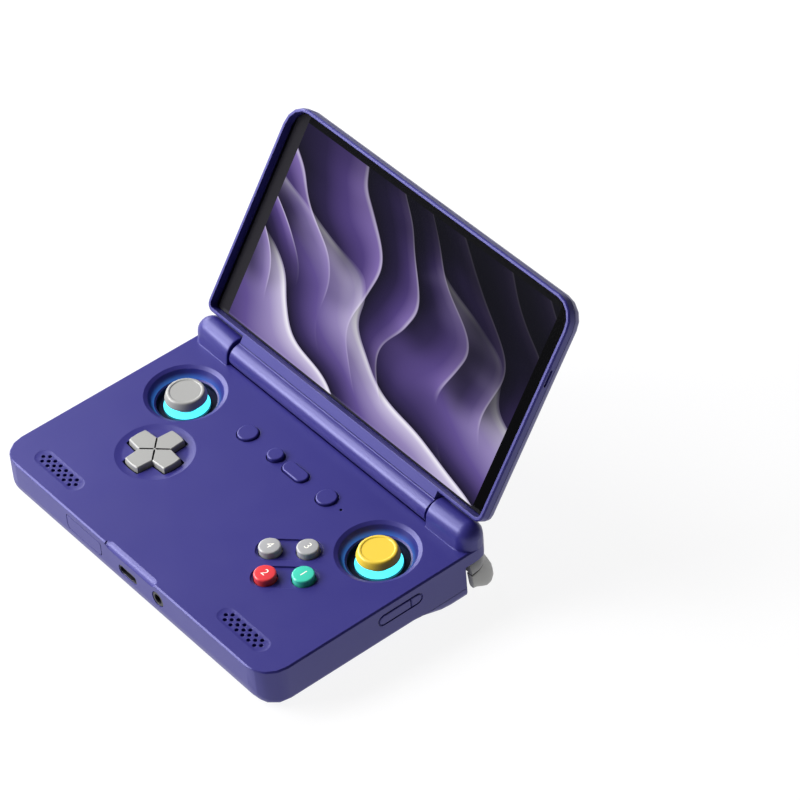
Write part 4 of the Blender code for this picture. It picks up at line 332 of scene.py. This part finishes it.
def circuit_board(name):
    """Green solder mask with copper runs showing faintly through it."""
    paint = Paint(name)
    node = paint.tree.nodes.new("ShaderNodeTexVoronoi")
    node.distance = "MANHATTAN"
    node.feature = "F1"
    paint.put(node.inputs["Vector"], paint.place)
    node.inputs["Scale"].default_value = 420.0
    runs = paint.span(node.outputs["Distance"], 0.36, 0.40)
    paint.set(
        colour=paint.mix(runs, (0.012, 0.085, 0.040), (0.030, 0.160, 0.075)),
        roughness=0.34,
        normal=paint.bump(runs, 0.3, 0.03),
    )
    return paint.material


def battery_foil(name):
    paint = Paint(name)
    crease = paint.noise(140.0, 4.0, 0.6, None, 0.6)
    paint.set(
        colour=(0.16, 0.16, 0.17),
        metallic=0.5,
        roughness=paint.vary(crease, 0.35, 0.6),
        normal=paint.bump(crease, 0.5, 0.2),
    )
    return paint.material


def screen_picture(name):
    """Black glass with dark grey side bars, and a lit picture of folded bands in the middle."""
    paint = Paint(name)
    to_lid = LID_TO_WORLD.inverted()
    across = paint.along(to_lid, 0)
    up = paint.math("SUBTRACT", paint.along(to_lid, 1), PICTURE_MIDDLE)
    from_side = paint.math("ABSOLUTE", across)
    u = paint.math("DIVIDE", across, PICTURE_HALF_WIDTH)
    v = paint.math("DIVIDE", up, PICTURE_HALF_HEIGHT)
    inside = paint.math(
        "MULTIPLY",
        paint.math("LESS_THAN", from_side, PICTURE_HALF_WIDTH),
        paint.math("LESS_THAN", paint.math("ABSOLUTE", up), PICTURE_HALF_HEIGHT),
    )
    join = paint.tree.nodes.new("ShaderNodeCombineXYZ")
    paint.put(join.inputs[0], u)
    paint.put(join.inputs[1], v)
    flat = join.outputs[0]

    def weighed(first, first_share, second, second_share):
        return paint.math(
            "ADD",
            paint.math("MULTIPLY", first, first_share),
            paint.math("MULTIPLY", second, second_share),
        )

    def fold(angle, pitch, phase, bend, swirl, stops):
        """Bands that lie over each other like folded silk: a smooth rise, then a sharp fall."""
        aspect = 1.78
        sway = paint.math("SUBTRACT", paint.noise(swirl, 1.0, 0.4, flat), 0.5)
        straight = weighed(u, cos(angle) * aspect, v, sin(angle))
        curved = paint.math("ADD", straight, paint.math("MULTIPLY", sway, bend))
        turns = paint.math("ADD", paint.math("MULTIPLY", curved, pitch), phase)
        return paint.ramp(paint.math("FRACT", turns), stops)

    silk = [
        (0.0, (0.006, 0.004, 0.014)), (0.18, (0.035, 0.022, 0.095)), (0.45, (0.115, 0.075, 0.27)),
        (0.72, (0.30, 0.24, 0.48)), (0.90, (0.55, 0.49, 0.70)), (0.965, (0.90, 0.87, 0.95)),
        (1.0, (0.30, 0.25, 0.43)),
    ]
    deep = [
        (0.0, (0.004, 0.003, 0.009)), (0.35, (0.020, 0.012, 0.055)), (0.70, (0.075, 0.045, 0.19)),
        (0.93, (0.22, 0.15, 0.42)), (0.98, (0.55, 0.48, 0.70)), (1.0, (0.05, 0.03, 0.10)),
    ]
    wide = fold(radians(62), 1.15, 0.18, 1.5, 0.85, silk)
    fine = fold(radians(38), 2.3, 0.55, 1.9, 0.7, deep)
    drift = paint.noise(1.1, 2.0, 0.5, paint.vector("ADD", flat, (3.1, 1.7, 0.0)))
    rise = paint.math("ADD", paint.math("MULTIPLY", v, 0.35), paint.math("SUBTRACT", drift, 0.5))
    shown = paint.mix(paint.span(rise, -0.28, 0.16, 1.0, 0.0, True), fine, wide)
    corner = paint.math("ADD", weighed(u, 0.55, v, 0.75), paint.math("MULTIPLY", drift, 0.6))
    dimming = paint.span(corner, 0.35, 1.05, 1.0, 0.05, True)
    grey = paint.ramp(dimming, [(0.0, (0.0, 0.0, 0.0)), (1.0, WHITE)])
    shown = paint.mix(1.0, shown, grey, "MULTIPLY")
    bars = paint.math(
        "MULTIPLY",
        paint.math("GREATER_THAN", from_side, PICTURE_HALF_WIDTH),
        paint.math("LESS_THAN", from_side, BARS_HALF_WIDTH),
    )
    # The side bars go from dark grey at the left to near black at the right: painted shade on the
    # right bar
    bars_painted_shade = paint.mix(
        paint.span(u, -1.0, 1.0), (0.018, 0.017, 0.021), (0.001, 0.001, 0.0015)
    )
    frame_colour = paint.mix(bars, (0.0035, 0.0035, 0.0045), bars_painted_shade)
    paint.set(
        colour=paint.mix(inside, frame_colour, (0.003, 0.003, 0.005)),
        roughness=0.08,
        specular=0.20,
        glow=shown,
        glow_strength=inside,
    )
    return paint.material


BODY_PAINT = plastic("body_plastic", (0.027, 0.023, 0.176), 0.38, 0.10, 0.30, 0.62, VIOLET_GLOSS)
LID_PAINT = plastic("lid_plastic", (0.024, 0.018, 0.166), 0.35, 0.10, 0.30, 0.62, VIOLET_GLOSS)
GREY_PAINT = plastic("grey_plastic", (0.345, 0.345, 0.335), 0.32, 0.12, 0.10)
# Near black paint for the direction pad's stem and grooves: painted shade
PAINTED_SHADE_GREY = plastic("pad_painted_shade", (0.026, 0.026, 0.025), 0.5, 0.10, 0.0, 0.2)
KEY_PAINT = plastic("key_plastic", (0.38, 0.38, 0.39), 0.24, 0.05, 0.0)
# Well walls: painted shade in the base colour and a painted glow from the ring below
WALL_SHADE_GLOW_PAINT = wall_with_painted_glow("well_wall_painted_shade_and_glow")
# Near black navy for the wells' floors, the stick bases and the gap walls: painted shade
PAINTED_SHADE_NAVY = plastic("painted_shade_plastic", (0.008, 0.014, 0.045), 0.5, 0.10, 0.0, 0.12)
YELLOW_PAINT = plastic("yellow_plastic", (0.84, 0.585, 0.052), 0.36, 0.18, 0.0)
RED_PAINT = plastic("red_plastic", (0.72, 0.050, 0.062), 0.24, 0.05, 0.0)
GREEN_PAINT = plastic("green_plastic", (0.055, 0.58, 0.42), 0.24, 0.05, 0.0)
TRIGGER_PAINT = plastic("trigger_plastic", (0.43, 0.43, 0.42), 0.42, 0.14, 0.15)
BUMPER_PAINT = plastic("bumper_plastic", (0.27, 0.27, 0.28), 0.42, 0.14, 0.15)
BLACK_PAINT = plastic("black_plastic", (0.014, 0.014, 0.017), 0.45, 0.2, 0.15)
STEEL_PAINT = metal("plated_steel", (0.56, 0.57, 0.58), 0.3)
# Near black steel for the port: painted shade inside the opening
PORT_PAINTED_SHADE = metal("port_steel_painted_shade", (0.09, 0.09, 0.11), 0.4)
RUBBER_PAINT = rubber("foot_rubber", (0.030, 0.030, 0.034), 0.8)
SILICONE_PAINT = rubber("pad_silicone", (0.33, 0.33, 0.32), 0.6)
RING_PAINT = light_guide("ring_light", (0.070, 0.75, 1.0), 1.8)
BOARD_PAINT = circuit_board("solder_mask")
FOIL_PAINT = battery_foil("battery_foil")
PRINT_PAINT = plastic("key_print", (0.95, 0.92, 0.82), 0.4, 0.05, 0.0)


# Building pieces
def add_object(name, data):
    made = bpy.data.objects.new(name, data)
    bpy.context.collection.objects.link(made)
    return made


def only_paint(mesh, paint):
    mesh.materials.clear()
    mesh.materials.append(paint)


def add_surface(name, mesh, paint):
    """An object of one paint, with flat faces shaded flat, so that only the rounds look round."""
    piece = add_object(name, mesh)
    only_paint(mesh, paint)
    weigh = piece.modifiers.new("flat_faces", "WEIGHTED_NORMAL")
    weigh.keep_sharp = True
    weigh.weight = 100
    return piece


def new_piece(name, mesh, body, paint, replaced=()):
    """Adds a mesh in millimetres as a piece that rides on a body."""
    mesh.transform(TO_WORLD)
    piece = add_surface(name, mesh, paint)
    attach(piece, body)
    if replaced:
        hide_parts(*replaced)
    return piece


def edge_limit(ends, sharp, crisp):
    """The angle in degrees from which an edge of a copy stays sharp."""
    if not crisp:
        return sharp
    ends = [TO_CONSOLE @ end for end in ends]
    if all(on_lip(end) for end in ends):
        return CRISP_EDGE if min(end.z for end in ends) > PANEL_SKIN else sharp
    return CRISP_EDGE if all(crisp(end) for end in ends) else sharp


def smooth_copy(node, paint, sharp=COPY_EDGE, mesh=None, crisp=None):
    """A CAD node whose shape is right, with its facets shaded as the curves that they stand for.

    Where crisp says so, edges stay sharp from CRISP_EDGE up."""
    mesh = mesh or frame["nodes"][node].data.copy()
    build = bmesh.new()
    build.from_mesh(mesh)
    bmesh.ops.remove_doubles(build, verts=build.verts, dist=WELD * MM)
    if crisp:
        bmesh.ops.triangulate(build, faces=build.faces)
    else:
        bmesh.ops.dissolve_limit(
            build, angle_limit=radians(FLAT_ANGLE), verts=build.verts, edges=build.edges
        )
    for edge in build.edges:
        limit = radians(edge_limit([vert.co for vert in edge.verts], sharp, crisp))
        edge.smooth = len(edge.link_faces) == 2 and edge.calc_face_angle() < limit
    for face in build.faces:
        face.smooth = True
    build.to_mesh(mesh)
    build.free()
    piece = add_surface(node + "_surface", mesh, paint)
    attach(piece, frame["nodes"][node]["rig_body"])
    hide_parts(node)
    return piece


def repaint(paint, *names):
    for name in names:
        only_paint(frame["nodes"][name].data, paint)


def mesh_from(name, points, faces, sharp):
    mesh = bpy.data.meshes.new(name)
    mesh.from_pydata([tuple(point) for point in points], [], faces)
    build = bmesh.new()
    build.from_mesh(mesh)
    bmesh.ops.recalc_face_normals(build, faces=build.faces)
    if build.calc_volume(signed=True) < 0:
        bmesh.ops.reverse_faces(build, faces=build.faces)
    build.to_mesh(mesh)
    build.free()
    mesh.shade_smooth()
    mesh.set_sharp_from_angle(angle=radians(sharp))
    return mesh


def arc(a, b, radius, start, end, steps):
    angles = [start + (end - start) * step / steps for step in range(steps + 1)]
    return [(a + radius * cos(angle), b + radius * sin(angle)) for angle in angles]


def circle(a, b, radius, sides):
    angles = [2 * pi * step / sides for step in range(sides)]
    return [(a + radius * cos(angle), b + radius * sin(angle)) for angle in angles]


def stadium(a, b, length, width, angle=0, steps=10):
    reach = (length - width) / 2
    da, db = reach * cos(angle), reach * sin(angle)
    first = arc(a + da, b + db, width / 2, angle - pi / 2, angle + pi / 2, 2 * steps)
    return first + arc(a - da, b - db, width / 2, angle + pi / 2, angle + 1.5 * pi, 2 * steps)


def round_outline(a, b, radius, sides=64):
    """A circle as a function of how far it grows outwards."""
    return lambda grow: circle(a, b, radius + grow, sides)


def long_outline(a, b, length, width, steps=10):
    """A stadium as a function of how far it grows outwards."""
    return lambda grow: stadium(a, b, length + 2 * grow, width + 2 * grow, 0, steps)


def lathe(name, profile, place, closed=False):
    """Turns a profile of (radius, height) round a vertical line through place."""
    sides = LATHE_SIDES
    points, faces = [], []
    for radius, height in profile:
        ring = circle(0, 0, max(radius, AXIS_RADIUS), sides)
        points += [Vector((place[0] + a, place[1] + b, height)) for a, b in ring]
    rows = list(range(len(profile)))
    for here, there in list(zip(rows, rows[1:])) + ([(rows[-1], 0)] if closed else []):
        for step in range(sides):
            after = (step + 1) % sides
            low, high = here * sides, there * sides
            faces.append((low + step, low + after, high + after, high + step))
    if not closed:
        faces.append(tuple(range(sides)))
        faces.append(tuple(range(len(points) - sides, len(points))))
    return mesh_from(name, points, faces, SHARP_EDGE)


def loft(name, rings, sharp=SHARP_EDGE):
    count = len(rings[0])
    points = [point for ring in rings for point in ring]
    faces = []
    for level in range(len(rings) - 1):
        for step in range(count):
            after = (step + 1) % count
            low, high = level * count, (level + 1) * count
            faces.append((low + step, low + after, high + after, high + step))
    faces.append(tuple(range(count)))
    faces.append(tuple(range(len(points) - count, len(points))))
    return mesh_from(name, points, faces, sharp)


def stack(name, outline_of, levels, sharp=SHARP_EDGE):
    """A loft through one outline at several levels of (height, growth)."""
    rings = [[Vector((a, b, level)) for a, b in outline_of(grow)] for level, grow in levels]
    return loft(name, rings, sharp)


def prism(name, outline, low, high):
    return loft(name, [[Vector((a, b, level)) for a, b in outline] for level in (low, high)])


def front_prism(name, outline):
    """An outline in x and z pushed along y through the front wall."""
    return loft(name, [[Vector((a, level, b)) for a, b in outline] for level in FRONT_CUT])


def evaluated_mesh(source):
    bpy.context.view_layer.update()
    depsgraph = bpy.context.evaluated_depsgraph_get()
    return bpy.data.meshes.new_from_object(source.evaluated_get(depsgraph))


def combine(mesh, tools, operation, to_world=TO_WORLD):
    """Adds meshes given in millimetres to a mesh of the model, or cuts them out of it."""
    host = add_object("host", mesh)
    others = []
    for tool in tools:
        tool.transform(to_world)
        others.append(add_object("tool", tool))
        step = host.modifiers.new("combine", "BOOLEAN")
        step.operation = operation
        step.solver = "EXACT"
        step.object = others[-1]
    made = evaluated_mesh(host)
    for item in [host] + others:
        bpy.data.objects.remove(item)
    return made


# Pieces
def pad_outline(grow):
    """The direction pad's cross: four arms with rounded corners and slightly bowed ends."""
    reach, half, bow, corner, taper, flare = 9.6, 3.72, 0.3, 0.4, 0.38, 0.12
    side, end = half + grow, reach + grow
    tip = side - taper
    outer, inner = end - bow, end - bow - corner
    bowed, cut = end - bow * 0.3, corner * 0.3
    near_outer = outer - cut
    arms = [
        (side + flare, -side), (inner, -tip), (near_outer, -tip + cut), (outer, -tip + corner),
        (bowed, -tip / 2), (end, 0), (bowed, tip / 2),
        (outer, tip - corner), (near_outer, tip - cut), (inner, tip), (side + flare, side),
    ]
    outline = []
    for quarter in range(4):
        turn = quarter * pi / 2
        outline += [
            (PAD_X + a * cos(turn) - b * sin(turn), PAD_Y + a * sin(turn) + b * cos(turn))
            for a, b in arms
        ]
    return outline


def panel_patches():
    """Plates under the coarse bowls, dish and grilles, from which the fine ones are cut."""
    top = -0.001
    patches = []
    for sign in (-1, 1):
        ring = [(9.75, top), (14.2, top), (14.2, -1.2), (11.4, -3.5), (9.75, -3.5)]
        patches.append(lathe("patch", ring, (sign * STICK_X, STICK_Y), True))
        patches.append(prism("patch", stadium(sign * GRILLE_X, GRILLE_Y, 26.0, 8.6), -0.8, top))
    patches.append(prism("patch", circle(PAD_X, PAD_Y, 13.4, LATHE_SIDES), -2.85, top))
    return patches


def grille_cutters(sign):
    """A shallow sink with three rows of holes."""
    middle = sign * GRILLE_X
    sink = long_outline(middle, GRILLE_Y, SINK_LENGTH, SINK_WIDTH, 14)
    cutters = [stack("sink", sink, ((-0.12, -0.70), (-0.01, 0.0), (ABOVE, 0.0)))]
    for row, count in ((-1, 6), (0, 7), (1, 6)):
        for index in range(count):
            a = middle + (index - (count - 1) / 2) * HOLE_PITCH
            outline = circle(a, GRILLE_Y + row * HOLE_ROW, HOLE_RADIUS, 18)
            cutters.append(prism("hole", outline, THROUGH, ABOVE))
    return cutters


def lip_cutter():
    """The rounded lip over the port, in three facets that fade out at both ends."""
    outside, top, foot = -0.6, 0.3, -0.90
    rings = []
    for a, reach in ((-11.6, 0.6), (-10.0, 1), (12.0, 1), (13.6, 0.6)):
        side = (
            (outside, top), (2.8 * reach, top), (1.2 * reach, -0.3), (0.49 * reach, foot),
            (outside, foot),
        )
        rings.append([Vector((a, FRONT_Y + b, c)) for b, c in side])
    return loft("lip", rings)


def panel_cutters():
    """The openings of the control panel again, as finely divided as they look."""

    def hole(a, b, radius):
        return prism("hole", round_outline(a, b, radius, 48)(BUTTON_GAP), THROUGH, ABOVE)

    cutters = []
    bowl = [(0, ABOVE), (14.1, ABOVE)] + WELL + [(0, WELL_DEPTH)]
    for sign in (-1, 1):
        cutters.append(lathe("bowl", bowl, (sign * STICK_X, STICK_Y)))
        cutters += grille_cutters(sign)
        cutters.append(hole(sign * OPTION_X, MENU_Y, OPTION_RADIUS))
    dish = [(0, ABOVE), (13.1, ABOVE)] + DISH + [(0, DISH_DEPTH)]
    cutters.append(lathe("dish", dish, (PAD_X, PAD_Y)))
    cutters.append(prism("cross", pad_outline(PAD_GAP), THROUGH, ABOVE))
    for dx, dy in FACE_SPOTS:
        cutters.append(hole(FACE_X + dx, FACE_Y + dy, FACE_RADIUS))
    for sign in (-1, 1):
        a, b = FACE_X + sign * FACE_SPREAD / 2, FACE_Y - sign * FACE_SPREAD / 2
        length = FACE_SPREAD * sqrt(2) + RECESS_WIDTH
        recess = stadium(a, b, length, RECESS_WIDTH, pi / 4, 14)
        cutters.append(prism("recess", recess, -RECESS_DEPTH, ABOVE))
    cutters.append(hole(HOME_X, MENU_Y, HOME_RADIUS))
    oval = long_outline(OVAL_X, MENU_Y, OVAL_LENGTH, OVAL_WIDTH, 14)(BUTTON_GAP)
    cutters.append(prism("hole", oval, THROUGH, ABOVE))
    cutters.append(prism("hole", circle(MIC_X, MENU_Y, MIC_RADIUS, 24), THROUGH, ABOVE))
    cutters.append(lip_cutter())
    cutters.append(front_prism("jack", circle(JACK_X, JACK_Z, JACK_RADIUS, 48)))
    cutters.append(front_prism("port", stadium(PORT_X, PORT_Z, PORT_WIDTH, PORT_HEIGHT, 0, 14)))
    return cutters


def on_panel(point):
    half_width, front, back, depth = 64.5, -74.5, -3.4, -6
    return abs(point.x) < half_width and front < point.y < back and point.z > depth


def on_lip(point):
    left, right, reach, depth = -12.0, 14.0, 2.3, -2.0
    return left < point.x < right and point.y < FRONT_Y + reach and point.z > depth


def gap_near(point):
    """Whether a point is in the narrow gap round the pad or a button, where no light comes; faces
    there get a near black paint as painted shade.
    """
    arm_reach, arm_half, dish_floor = 10.5, 4.6, -0.46
    a, b = abs(point.x - PAD_X), abs(point.y - PAD_Y)
    if max(a, b) < arm_reach and min(a, b) < arm_half and point.z < dish_floor:
        return True
    face, option, home, mic, oval = 4.2, 4.0, 3.3, 1.0, 3.2
    spots = [(FACE_X + dx, FACE_Y + dy, face) for dx, dy in FACE_SPOTS]
    spots += [(-OPTION_X, MENU_Y, option), (OPTION_X, MENU_Y, option)]
    spots += [(HOME_X, MENU_Y, home), (MIC_X, MENU_Y, mic)]
    spots += [(x, MENU_Y, oval) for x in (1.0, 3.0, 5.0, 7.7)]
    return any((point.x - x) ** 2 + (point.y - y) ** 2 < reach**2 for x, y, reach in spots)


def shell_part(middle, normal):
    """0 for the shell's own face, 1 for painted shade in a narrow gap and on a well's floor, 2 for
    a well's wall with painted shade and glow.
    """
    steep, gap_foot = 0.3, -4.1
    floor_radius, floor_foot, floor_top = 9.84, -6.3, -3.64
    wall_inner, wall_outer, wall_foot, wall_top = 10.45, 12.2, -3.35, -0.7
    from_stick = sqrt((abs(middle.x) - STICK_X) ** 2 + (middle.y - STICK_Y) ** 2)
    in_gap = abs(normal.z) < steep and gap_foot < middle.z < PANEL_SKIN and gap_near(middle)
    # Gap walls and well floors take the near black paint: painted shade
    if in_gap or (from_stick < floor_radius and floor_foot < middle.z < floor_top):
        return 1
    on_wall = wall_inner < from_stick < wall_outer and wall_foot < middle.z < wall_top
    return 2 if on_wall else 0


def make_shells():
    shell = combine(frame["nodes"]["top_shell"].data.copy(), panel_patches(), "UNION")
    shell = combine(shell, panel_cutters(), "DIFFERENCE")
    piece = smooth_copy("top_shell", BODY_PAINT, SHARP_EDGE, shell, on_panel)
    piece.data.materials.append(PAINTED_SHADE_NAVY)
    piece.data.materials.append(WALL_SHADE_GLOW_PAINT)
    for face in piece.data.polygons:
        face.material_index = shell_part(TO_CONSOLE @ face.center, face.normal)
    for node in ("bottom_shell", "lid_bezel", "card_door", "volume_rocker", "power_button"):
        smooth_copy(node, BODY_PAINT)
    smooth_copy("lid_cover", LID_PAINT)


def make_sticks():
    neck, dome, dome_middle, dome_foot, stem, stem_top = 2.3, 4.3, -9.4, -6.8, 1.4, -4.0
    cap = [
        (0, 0.80), (4.90, 0.80), (5.04, 0.82), (5.12, 0.90), (5.22, 0.97), (5.40, 1.0),
        (5.72, 0.99), (5.95, 0.93), (6.12, 0.82), (6.25, 0.66), (6.38, 0.38), (6.62, -0.30),
        (6.84, -1.05), (6.93, -1.40), (6.90, -1.62), (6.78, -1.76), (6.60, -1.80), (2.9, -1.8),
        (2.4, -2.1), (neck, -2.6),
    ]
    start, end = asin(neck / dome), pi / 2 - asin((dome_foot - dome_middle) / dome)
    dome_steps = 8
    for step in range(dome_steps + 1):
        angle = start + (end - start) * step / dome_steps
        cap.append((dome * sin(angle), dome_middle + dome * cos(angle)))
    cap += [(stem, dome_foot), (stem, stem_top), (0, stem_top)]
    ring = [
        (7.56, -4.6), (7.50, -4.5), (4.3, -4.5), (4.2, -4.6), (4.2, -4.85), (5.8, -4.95),
        (5.8, -5.8), (7.56, -5.8),
    ]
    for side, sign, paint, slot in (
        ("left", -1, GREY_PAINT, "grey_plastic"),
        ("right", 1, YELLOW_PAINT, "yellow_plastic"),
    ):
        place = (sign * STICK_X, STICK_Y)
        stick, light_ring = side + "_stick", side + "_light_ring"
        turned = lathe("thumbstick", cap, place)
        new_piece(side + "_thumbstick", turned, stick, paint, (stick,))
        turned = lathe("glow_ring", ring, place, True)
        new_piece(side + "_glow_ring", turned, "base", RING_PAINT, (light_ring,))


def button_mesh(outline_of, top, edge, dome=0.0):
    """A cap with a rolled edge and a slightly crowned top, over its flange."""
    levels = [
        (FLANGE_TOP - FLANGE_THICK, FLANGE_OUT), (FLANGE_TOP, FLANGE_OUT), (FLANGE_TOP, 0.0),
        (top - edge, 0.0),
    ]
    for step in range(1, ROLL_STEPS + 1):
        angle = pi / 2 * step / ROLL_STEPS
        levels.append((top - edge + edge * sin(angle), -edge * (1 - cos(angle))))
    if dome:
        reach = dome_reach(outline_of, edge)
        for share in (0.7, 0.4, 0.1):
            levels.append((top + dome * (1 - share**2), -edge - (1 - share) * reach))
    return stack("cap", outline_of, levels, SOFT_EDGE)


def dome_reach(outline_of, edge):
    outline = outline_of(-edge)
    xs = [a for a, _ in outline]
    ys = [b for _, b in outline]
    return 0.95 * min(max(xs) - min(xs), max(ys) - min(ys)) / 2


def make_numeral(name, text, x, y, body):
    """A plain numeral printed on a button's crown."""
    curve = bpy.data.curves.new(name, "FONT")
    curve.body = text
    curve.size = NUMERAL_SIZE
    curve.align_x = "CENTER"
    curve.align_y = "CENTER"
    curve.extrude = NUMERAL_THICK
    curve.resolution_u = 6
    holder = add_object(name, curve)
    mesh = evaluated_mesh(holder)
    bpy.data.objects.remove(holder)
    mesh.transform(Matrix.Translation(Vector((x, y, NUMERAL_HEIGHT))))
    new_piece(name, mesh, body, PRINT_PAINT)


def make_buttons():
    for (dx, dy), (name, paint, slot, text) in zip(FACE_SPOTS, (
        ("upper_face_button", KEY_PAINT, "key_grey", "3"),
        ("left_face_button", KEY_PAINT, "key_grey", "4"),
        ("right_face_button", GREEN_PAINT, "green_plastic", "1"),
        ("lower_face_button", RED_PAINT, "red_plastic", "2"),
    )):
        a, b = FACE_X + dx, FACE_Y + dy
        cap = button_mesh(round_outline(a, b, FACE_RADIUS), FACE_TOP, FACE_EDGE, FACE_DOME)
        new_piece(name + "_cap", cap, name, paint, (name,))
        make_numeral(name + "_numeral", text, a, b, name)
    oval = long_outline(OVAL_X, MENU_Y, OVAL_LENGTH, OVAL_WIDTH)
    for name, outline_of, top in (
        ("left_option_button", round_outline(-OPTION_X, MENU_Y, OPTION_RADIUS), OPTION_TOP),
        ("right_option_button", round_outline(OPTION_X, MENU_Y, OPTION_RADIUS), OPTION_TOP),
        ("home_button", round_outline(HOME_X, MENU_Y, HOME_RADIUS), HOME_TOP),
        ("oval_button", oval, OVAL_TOP),
    ):
        cap = button_mesh(outline_of, top, MENU_EDGE)
        new_piece(name + "_cap", cap, name, BODY_PAINT, (name,))


def painted_shade_on_pad(middle):
    """Whether a face of the cross is on its stem below the panel or in one of its grooves, where it
    gets painted shade.
    """
    stem_top, groove_reach, groove_foot, groove_top = -0.5, 3.9, PAD_TOP - 0.65, PAD_TOP - 0.12
    near = max(abs(middle.x - PAD_X), abs(middle.y - PAD_Y)) < groove_reach
    return middle.z < stem_top or (near and groove_foot < middle.z < groove_top)


def make_direction_pad():
    """The cross, with chamfered edges, four grooves from the middle to the inner corners, and
    painted shade on its stem and in its grooves.
    """
    levels = [
        (-4.1, 0.1), (-0.9, 0.1), (PAD_TOP - 0.40, 0.0), (PAD_TOP - 0.33, -0.02),
        (PAD_TOP - 0.05, -0.27), (PAD_TOP, -0.35),
    ]
    groove_middle, groove_length, groove_width, groove_depth = 2.62, 4.7, 0.58, 0.6
    grooves = []
    for quarter in range(4):
        turn = pi / 4 + quarter * pi / 2
        a, b = PAD_X + groove_middle * cos(turn), PAD_Y + groove_middle * sin(turn)
        outline = stadium(a, b, groove_length, groove_width, turn, 4)
        grooves.append(prism("groove", outline, PAD_TOP - groove_depth, PAD_TOP + 1))
    cross = stack("direction_cross", pad_outline, levels)
    cross = combine(cross, grooves, "DIFFERENCE", Matrix())
    cross.shade_smooth()
    cross.set_sharp_from_angle(angle=radians(PAD_EDGE))
    # Stem and groove faces take the near black paint: painted shade
    dark = [face.index for face in cross.polygons if painted_shade_on_pad(face.center)]
    piece = new_piece(
        "direction_cross", cross, "direction_pad", GREY_PAINT, ("direction_pad",)
    )
    piece.data.materials.append(PAINTED_SHADE_GREY)
    for index in dark:
        piece.data.polygons[index].material_index = 1


def paint_the_rest():
    """Puts paint on the CAD pieces that are shown as they are, and smooths the shoulder pieces."""
    sides = ("left", "right")
    corners = ("front_left", "front_right", "rear_left", "rear_right")
    repaint(screen_picture("screen_glass_picture"), "screen_glass")
    repaint(STEEL_PAINT, "card_reader", "heatsink", *(end + "_case_screw" for end in corners))
    for side in sides:
        repaint(STEEL_PAINT, side + "_hinge_shaft", side + "_stick_yoke", side + "_stick_hub")
        # The stick bases take the wells' near black floor paint: painted shade
        repaint(PAINTED_SHADE_NAVY, side + "_stick_base")
        repaint(BLACK_PAINT, side + "_speaker", side + "_shoulder_bracket")
    repaint(BLACK_PAINT, "display_panel", "headphone_jack", "direction_pad_pivot")
    repaint(BLACK_PAINT, "fan_housing", "fan_rotor")
    # The port takes the near black steel: painted shade
    repaint(PORT_PAINTED_SHADE, "usb_c_port")
    repaint(RUBBER_PAINT, *(end + "_foot" for end in corners))
    repaint(SILICONE_PAINT, "left_key_pad", "right_key_pad", "menu_key_pad")
    repaint(BOARD_PAINT, "mainboard", "side_key_board")
    repaint(FOIL_PAINT, "battery_pack")
    for side in sides:
        smooth_copy(side + "_bumper", BUMPER_PAINT, SOFT_EDGE)
        smooth_copy(side + "_trigger", TRIGGER_PAINT, SOFT_EDGE)


# Stage, lights and camera, in metres
def make_stage():
    size, low = 3.0, -0.05 * MM
    mesh = bpy.data.meshes.new("floor")
    corners = [(-size, -size, low), (size, -size, low), (size, size, low), (-size, size, low)]
    mesh.from_pydata(corners, [], [(0, 1, 2, 3)])
    floor = add_object("floor", mesh)
    paint = Paint("floor_paper")
    grain = paint.noise(900.0, 2.0)
    paint.set(
        colour=paint.mix(paint.vary(grain), (0.14, 0.14, 0.145), (0.15, 0.15, 0.155)),
        roughness=0.9,
        glow=WHITE,
        glow_strength=0.89,
        specular=0.05,
    )
    mesh.materials.append(paint.material)
    world = bpy.data.worlds.new("studio")
    world.use_nodes = True
    bpy.context.scene.world = world
    shade = world.node_tree.nodes["Background"]
    shade.inputs["Color"].default_value = (*WHITE, 1)
    shade.inputs["Strength"].default_value = 0.10


def make_light(name, place, target, size, power):
    lamp = bpy.data.lights.new(name, "AREA")
    lamp.shape = "RECTANGLE"
    lamp.size, lamp.size_y = size
    lamp.energy = power
    light = add_object(name, lamp)
    light.location = place
    light.rotation_euler = (Vector(target) - Vector(place)).to_track_quat("-Z", "Y").to_euler()


def make_lights():
    make_light("left_softbox", (-1.06, -0.02, 0.46), (0, 0, 0.03), (0.9, 0.5), 9.5)
    make_light("front_softbox", (-0.64, -0.80, 0.50), (0, 0, 0.03), (0.6, 0.35), 13.0)
    make_light("top_softbox", (-0.64, -0.27, 0.70), (0, 0, 0.02), (0.62, 0.42), 8.0)


def make_camera():
    """The photograph's viewpoint, from the angles and place of the console that it shows."""
    focal_pixels, picture_pixels, sensor = 4129.7, 800, 36
    turn, rise, roll = radians(54.2402), radians(42.3953), radians(-5.0533)
    console_seen_at = (-23.28327, -13.34322, -1288.16)
    back = Vector((sin(turn) * cos(rise), -cos(turn) * cos(rise), sin(rise)))
    right = Vector((cos(turn), sin(turn), 0))
    above = back.cross(right)
    right, above = (
        cos(roll) * right + sin(roll) * above,
        -sin(roll) * right + cos(roll) * above,
    )
    across, up, ahead = console_seen_at
    data = bpy.data.cameras.new("camera")
    data.lens = focal_pixels / picture_pixels * sensor
    data.sensor_width = sensor
    data.clip_start = 0.05
    camera = add_object("camera", data)
    local = Matrix((right, above, back)).transposed().to_4x4()
    local.translation = -(right * across + above * up + back * ahead) * MM
    camera.matrix_world = TO_WORLD @ Matrix.Scale(1 / MM, 4) @ local
    bpy.context.scene.camera = camera


make_shells()
make_sticks()
make_buttons()
make_direction_pad()
paint_the_rest()
make_stage()
make_lights()
make_camera()
bpy.context.scene.view_settings.view_transform = "Standard"
